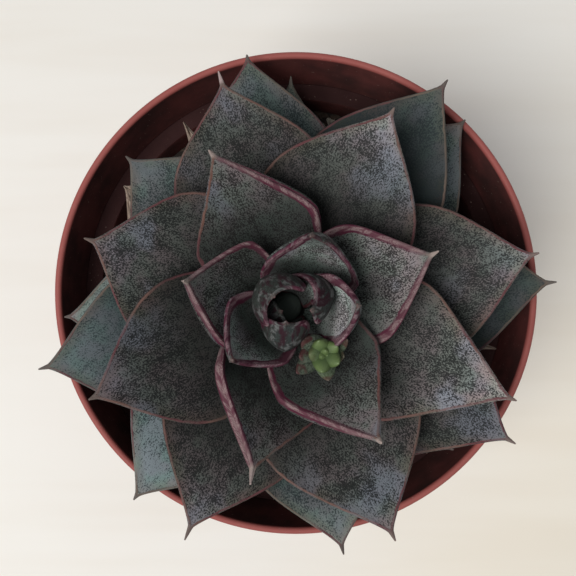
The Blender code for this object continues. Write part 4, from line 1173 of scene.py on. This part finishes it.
@dataclass
class Soil:
    """The potting mix: an uneven plug with loose crumbs on top."""

    top_radius: float = 35.9
    foot_radius: float = 27.45
    foot: float = 2.8
    hole: float = 5.6
    crumbs: int = 520

    def build(self, effects: Effects) -> None:
        """Makes the plug and the crumbs.

        Args:
            effects: The shared node groups.
        """
        finish = SoilFinish().build(effects)
        add_piece("soil_plug", self.plug(), finish, "soil_peat", "soil")
        add_piece("soil_crumbs", self.loose(), finish, "soil_peat")

    def height(self, x: Array, y: Array) -> Array:
        """The top: the plug's level with three sizes of unevenness."""
        broad = 0.4 * np.sin(0.35 * x + 1) * np.cos(0.31 * y + 0.4)
        return SOIL_TOP + 0.6 * broad + 0.35 * ripple(x / 3.2, y / 3.2, 2.0) + 0.18 * ripple(x / 1.1, y / 1.1, 5.0)

    def plug(self) -> bpy.types.Mesh:
        """Rings from the bottom's middle out, up the wall, in over the top and down the stem's hole."""
        turn = np.linspace(0, 2 * math.pi, 160, endpoint=False)
        share = np.linspace(1, 0, 46)
        wall = np.linspace(0, 1, 10)[1:]
        rows = [(np.full_like(turn, 4.0), np.full_like(turn, self.foot), 0.0)]
        rows += [(np.full_like(turn, self.foot_radius + (self.top_radius - self.foot_radius) * w),
                  np.full_like(turn, self.foot + (SOIL_TOP - 0.6 - self.foot) * w), 0.0) for w in [0.0, *wall]]
        points = [np.stack([r * np.cos(turn), r * np.sin(turn), z], axis=-1) for r, z, _ in rows]
        for s in share:
            radius = self.hole + (self.top_radius - self.hole) * s
            x = STEM_AXIS[0] * (1 - s) + radius * np.cos(turn)
            y = STEM_AXIS[1] * (1 - s) + radius * np.sin(turn)
            points.append(np.stack([x, y, self.height(x, y)], axis=-1))
        x, y = points[-1][:, 0], points[-1][:, 1]
        points.append(np.stack([x, y, np.full_like(turn, 34.0)], axis=-1))
        grid = np.stack(points)[:, ::-1]
        return mesh_from_grid("soil_plug", grid)

    def loose(self) -> bpy.types.Mesh:
        """Crumbs: small lumpy balls, each a ball's points pushed in and out by sines, sunk a little."""
        random = np.random.default_rng(7)
        turn = np.linspace(0, 2 * math.pi, 8, endpoint=False)
        tall = np.array([0.5, 1.1, 1.7, 2.3, 2.75])
        unit = np.stack([np.outer(np.sin(tall), np.cos(turn)), np.outer(np.sin(tall), np.sin(turn)),
                         np.repeat(np.cos(tall)[:, None], 8, axis=1)], axis=-1)
        count = self.crumbs
        radius = 7.0 + (self.top_radius - 8.3) * np.sqrt(random.random(count))
        angle = random.random(count) * 2 * math.pi
        size = 0.35 + 1.0 * random.random(count) ** 2.2
        x, y = radius * np.cos(angle), radius * np.sin(angle)
        centre = np.stack([x, y, self.height(x, y) + 0.15 * size], axis=-1)
        stretch = 0.7 + 0.6 * random.random((count, 1, 1, 3))
        lumps = 1 + 0.28 * np.sin(unit[None] @ random.normal(size=(count, 1, 3, 1)) * 2.4 + random.random((count, 1, 1, 1)) * 6)
        points = centre[:, None, None, :] + size[:, None, None, None] * unit[None] * stretch * lumps
        ends = points[:, [0, -1]].mean(axis=2)
        each = 42
        vertices = np.concatenate([points.reshape(count, 40, 3), ends], axis=1).reshape(-1, 3)
        row, column = np.meshgrid(np.arange(4), np.arange(8), indexing='ij')
        after = (column + 1) % 8
        quad = np.stack([row * 8 + column, (row + 1) * 8 + column, (row + 1) * 8 + after, row * 8 + after], axis=-1)
        step = np.arange(8)
        top = np.stack([np.full(8, 40), step, (step + 1) % 8], axis=-1)
        low = np.stack([np.full(8, 41), 32 + (step + 1) % 8, 32 + step], axis=-1)
        offset = (np.arange(count) * each)[:, None, None]
        faces = (quad.reshape(1, -1, 4) + offset).reshape(-1, 4).tolist()
        faces += (np.concatenate([top, low])[None] + offset).reshape(-1, 3).tolist()
        mesh = bpy.data.meshes.new("soil_crumbs")
        mesh.from_pydata((vertices * MM).tolist(), [], faces)
        mesh.update()
        mesh.shade_smooth()
        return mesh


@dataclass
class Stem:
    """The short stem between soil and heart, ringed where leaves were."""

    foot: float = 33.6
    radius: float = 5.5
    top_radius: float = 2.2

    def build(self, effects: Effects) -> None:
        """Makes the stem: rings whose radius falls evenly above the oldest leaf, with a low ripple.

        Args:
            effects: The shared node groups.
        """
        top = Leaf.SEAT_LOW + 28 * Leaf.SEAT_STEP + 7 * Leaf.HEART_SEAT_STEP
        height = np.linspace(self.foot, top, 120)
        share = np.clip((height - Leaf.SEAT_LOW) / (top - Leaf.SEAT_LOW), 0, 1)
        radius = self.radius + (self.top_radius - self.radius) * share
        turn = np.linspace(0, 2 * math.pi, 72, endpoint=False)
        scars = 0.10 * np.sin(height * 2.1)[:, None] * (0.5 + 0.5 * np.sin(3 * turn + height[:, None] * 0.9))
        rings = (radius - 0.12)[:, None] + scars
        rings[0] = self.radius - 0.7
        points = np.stack([STEM_AXIS[0] + rings * np.cos(turn), STEM_AXIS[1] + rings * np.sin(turn),
                           np.repeat(height[:, None], 72, axis=1)], axis=-1)
        cap = points[-1:] * 1.0
        cap[..., :2] = np.array(STEM_AXIS) + (cap[..., :2] - np.array(STEM_AXIS)) * 0.55
        cap[..., 2] = top + 0.75
        mesh = mesh_from_grid("stem_bark", np.concatenate([points, cap])[:, ::-1])
        add_piece("stem_bark", mesh, StemFinish().build(effects), "stem_bark", "stem")


@dataclass(frozen=True)
class Bract:
    """One small bract: where it points, its size, and how grey and red-tipped it is."""

    turn: float
    tilt: float
    length: float
    width: float
    thick: float
    older: float = 0.0
    sunk: float = 0.0


@dataclass
class Bud:
    """The flower bud on its short stalk."""

    centre: tuple[float, float, float] = (3.8, -8.7, 95.2)
    foot_turn: float = 318.0
    foot_radius: float = 4.6
    foot_height: float = 88.9
    radius: float = 0.75
    bracts: tuple[Bract, ...] = (
        Bract(112.0, 50.0, 4.9, 3.2, 2.3),
        Bract(34.0, 54.0, 4.7, 3.0, 2.2),
        Bract(-30.0, 50.0, 5.2, 3.1, 2.3),
        Bract(-98.0, 52.0, 5.2, 3.3, 2.3),
        Bract(178.0, 50.0, 4.7, 3.1, 2.2, 0.25),
        Bract(70.0, 20.0, 3.7, 2.4, 2.0),
        Bract(-140.0, 18.0, 3.6, 2.2, 1.9),
        Bract(-20.0, 22.0, 3.2, 1.8, 1.6),
        Bract(146.0, 64.0, 6.4, 3.8, 2.0, 1.0, 1.8),
        Bract(214.0, 70.0, 7.4, 3.1, 1.9, 1.0, 1.8),
        Bract(32.0, 66.0, 6.6, 3.3, 1.8, 0.8, 1.8),
        Bract(-8.0, 62.0, 5.4, 3.4, 1.9, 0.6, 1.8),
        Bract(-80.0, 66.0, 6.4, 3.3, 1.9, 0.7, 1.8),
        Bract(186.0, 60.0, 6.4, 3.4, 2.0, 1.0, 1.8),
    )

    def build(self, effects: Effects) -> None:
        """Makes the stalk and the bracts as one piece.

        Args:
            effects: The shared node groups.
        """
        grids = [self.stalk()] + [self.bract(b) for b in self.bracts]
        values = [np.zeros(grids[0].shape)]
        for bract, grid in zip(self.bracts, grids[1:]):
            along = np.linspace(0, 1, grid.shape[0])[:, None] + np.zeros(grid.shape[1])
            values.append(np.stack([along, bract.older + 0 * along, 0 * along], axis=-1))
        parts = [mesh_from_grid(f"bud_part_{i}", grid) for i, grid in enumerate(grids)]
        vertices, faces, attribute, first = [], [], [], 0
        for part, value in zip(parts, values):
            place = np.zeros(len(part.vertices) * 3)
            part.vertices.foreach_get("co", place)
            vertices.append(place.reshape(-1, 3))
            faces += [[first + i for i in face.vertices] for face in part.polygons]
            ends = np.stack([value[0].mean(axis=0), value[-1].mean(axis=0)])
            attribute.append(np.vstack([value.reshape(-1, 3), ends]))
            first += len(part.vertices)
            bpy.data.meshes.remove(part)
        mesh = bpy.data.meshes.new("flower_bud_fine")
        mesh.from_pydata(np.vstack(vertices).tolist(), [], faces)
        mesh.update()
        mesh.shade_smooth()
        data = mesh.attributes.new("bract", 'FLOAT_VECTOR', 'POINT').data
        data.foreach_set("vector", np.vstack(attribute).astype(np.float32).ravel())
        add_piece("flower_bud_fine", mesh, BudFinish().build(effects), "bud_skin", "flower_bud")

    def stalk(self) -> Array:
        """A round stalk from the axil to the bud, a little stouter at the top."""
        turn = math.radians(self.foot_turn)
        foot = np.array([STEM_AXIS[0] + self.foot_radius * math.cos(turn),
                         STEM_AXIS[1] + self.foot_radius * math.sin(turn), self.foot_height])
        share = np.linspace(0, 1, 16)[:, None]
        centre = foot + (np.array(self.centre) - foot) * np.concatenate([share, share, share ** 1.2], axis=1)
        round_turn = np.linspace(0, 2 * math.pi, 24, endpoint=False)
        ring = np.stack([np.cos(round_turn), np.sin(round_turn), 0 * round_turn], axis=-1)
        grid = centre[:, None, :] + self.radius * (1 + 0.5 * share)[..., None] * ring[None]
        return grid[:, ::-1]

    def bract(self, bract: Bract) -> Array:
        """A plump pointed bract: an ellipse swept along a line that straightens up, widest midway."""
        turn, tilt = math.radians(bract.turn), math.radians(bract.tilt)
        outward = np.array([math.cos(turn), math.sin(turn), 0.0])
        up = np.array([0.0, 0.0, 1.0])
        side = np.cross(up, outward)
        along = np.linspace(0.02, 0.995, 22)
        girth = np.sin(math.pi * along ** 0.8) ** 0.75
        lean = tilt * (1.15 - 0.45 * along)
        direction = np.sin(lean)[:, None] * outward + np.cos(lean)[:, None] * up
        normal = np.cos(lean)[:, None] * outward - np.sin(lean)[:, None] * up
        centre = np.array(self.centre) - bract.sunk * up + (bract.length * along - 1.0)[:, None] * direction
        angle = np.linspace(0, 2 * math.pi, 20, endpoint=False)
        crease = 1 - 0.10 * np.cos(angle) ** 8
        ring = (bract.width / 2 * np.cos(angle)[None, :, None] * side
                + bract.thick / 2 * (np.sin(angle) * crease)[None, :, None] * normal[:, None, :])
        grid = centre[:, None, :] + girth[:, None, None] * ring
        return grid


@dataclass
class Studio:
    """Floor, soft light from the lower left, and the camera straight above."""

    camera_place: tuple[float, float, float] = (-1.4, 0.88, 204.0)
    lens: float = 46.25

    def build(self, effects: Effects) -> None:
        """Makes the floor, the lights and the camera.

        Args:
            effects: The shared node groups.
        """
        self.floor(effects)
        self.light("key", (-410.0, -240.0, 960.0), 560.0, 9.3, (1.0, 0.988, 0.965))
        self.light("fill", (420.0, 380.0, 760.0), 700.0, 0.7, (0.93, 0.96, 1.0))
        world = bpy.data.worlds.new("pale_room")
        world.use_nodes = True
        world.node_tree.nodes["Background"].inputs["Color"].default_value = (0.88, 0.90, 0.93, 1.0)
        world.node_tree.nodes["Background"].inputs["Strength"].default_value = 0.31
        bpy.context.scene.world = world
        view = bpy.context.scene.view_settings
        view.view_transform = 'Standard'
        view.look = 'None'
        data = bpy.data.cameras.new("above")
        data.sensor_width = 36.0
        data.lens = self.lens
        data.clip_start = 0.01
        camera = bpy.data.objects.new("above", data)
        camera.location = [value * MM for value in self.camera_place]
        bpy.context.scene.collection.objects.link(camera)
        bpy.context.scene.camera = camera

    def floor(self, effects: Effects) -> None:
        """A wide table top whose surface is a flat grid."""
        x, y = np.meshgrid(np.linspace(-1500, 1500, 9), np.linspace(-1500, 1500, 9))
        grid = np.stack([y, x, np.full_like(x, -0.03)], axis=-1)
        mesh = mesh_from_grid("table_top", grid, closed_around=False, capped=False)
        mesh.materials.append(FloorFinish().build(effects))
        made = bpy.data.objects.new("table_top", mesh)
        bpy.context.scene.collection.objects.link(made)

    def light(self, name: str, place: tuple[float, float, float], size: float, watts: float, colour: Colour) -> None:
        """A square area light that faces the plant.

        Args:
            name: The light's name.
            place: Where it stands.
            size: The length of its side.
            watts: Its power.
            colour: Its colour.
        """
        data = bpy.data.lights.new(name, 'AREA')
        data.energy = watts
        data.color = colour
        data.size = size * MM
        made = bpy.data.objects.new(name, data)
        made.location = [value * MM for value in place]
        away = np.array(place) - np.array([0.0, 0.0, 80.0])
        made.rotation_mode = 'QUATERNION'
        made.rotation_quaternion = Vector(away.tolist()).to_track_quat('Z', 'Y')
        bpy.context.scene.collection.objects.link(made)


def main() -> None:
    """Builds every part of the plant and the studio."""
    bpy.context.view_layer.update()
    effects = Effects()
    Pot().build(effects)
    Soil().build(effects)
    Stem().build(effects)
    Rosette().build(effects)
    Bud().build(effects)
    Studio().build(effects)


if __name__ == "__main__":
    main()
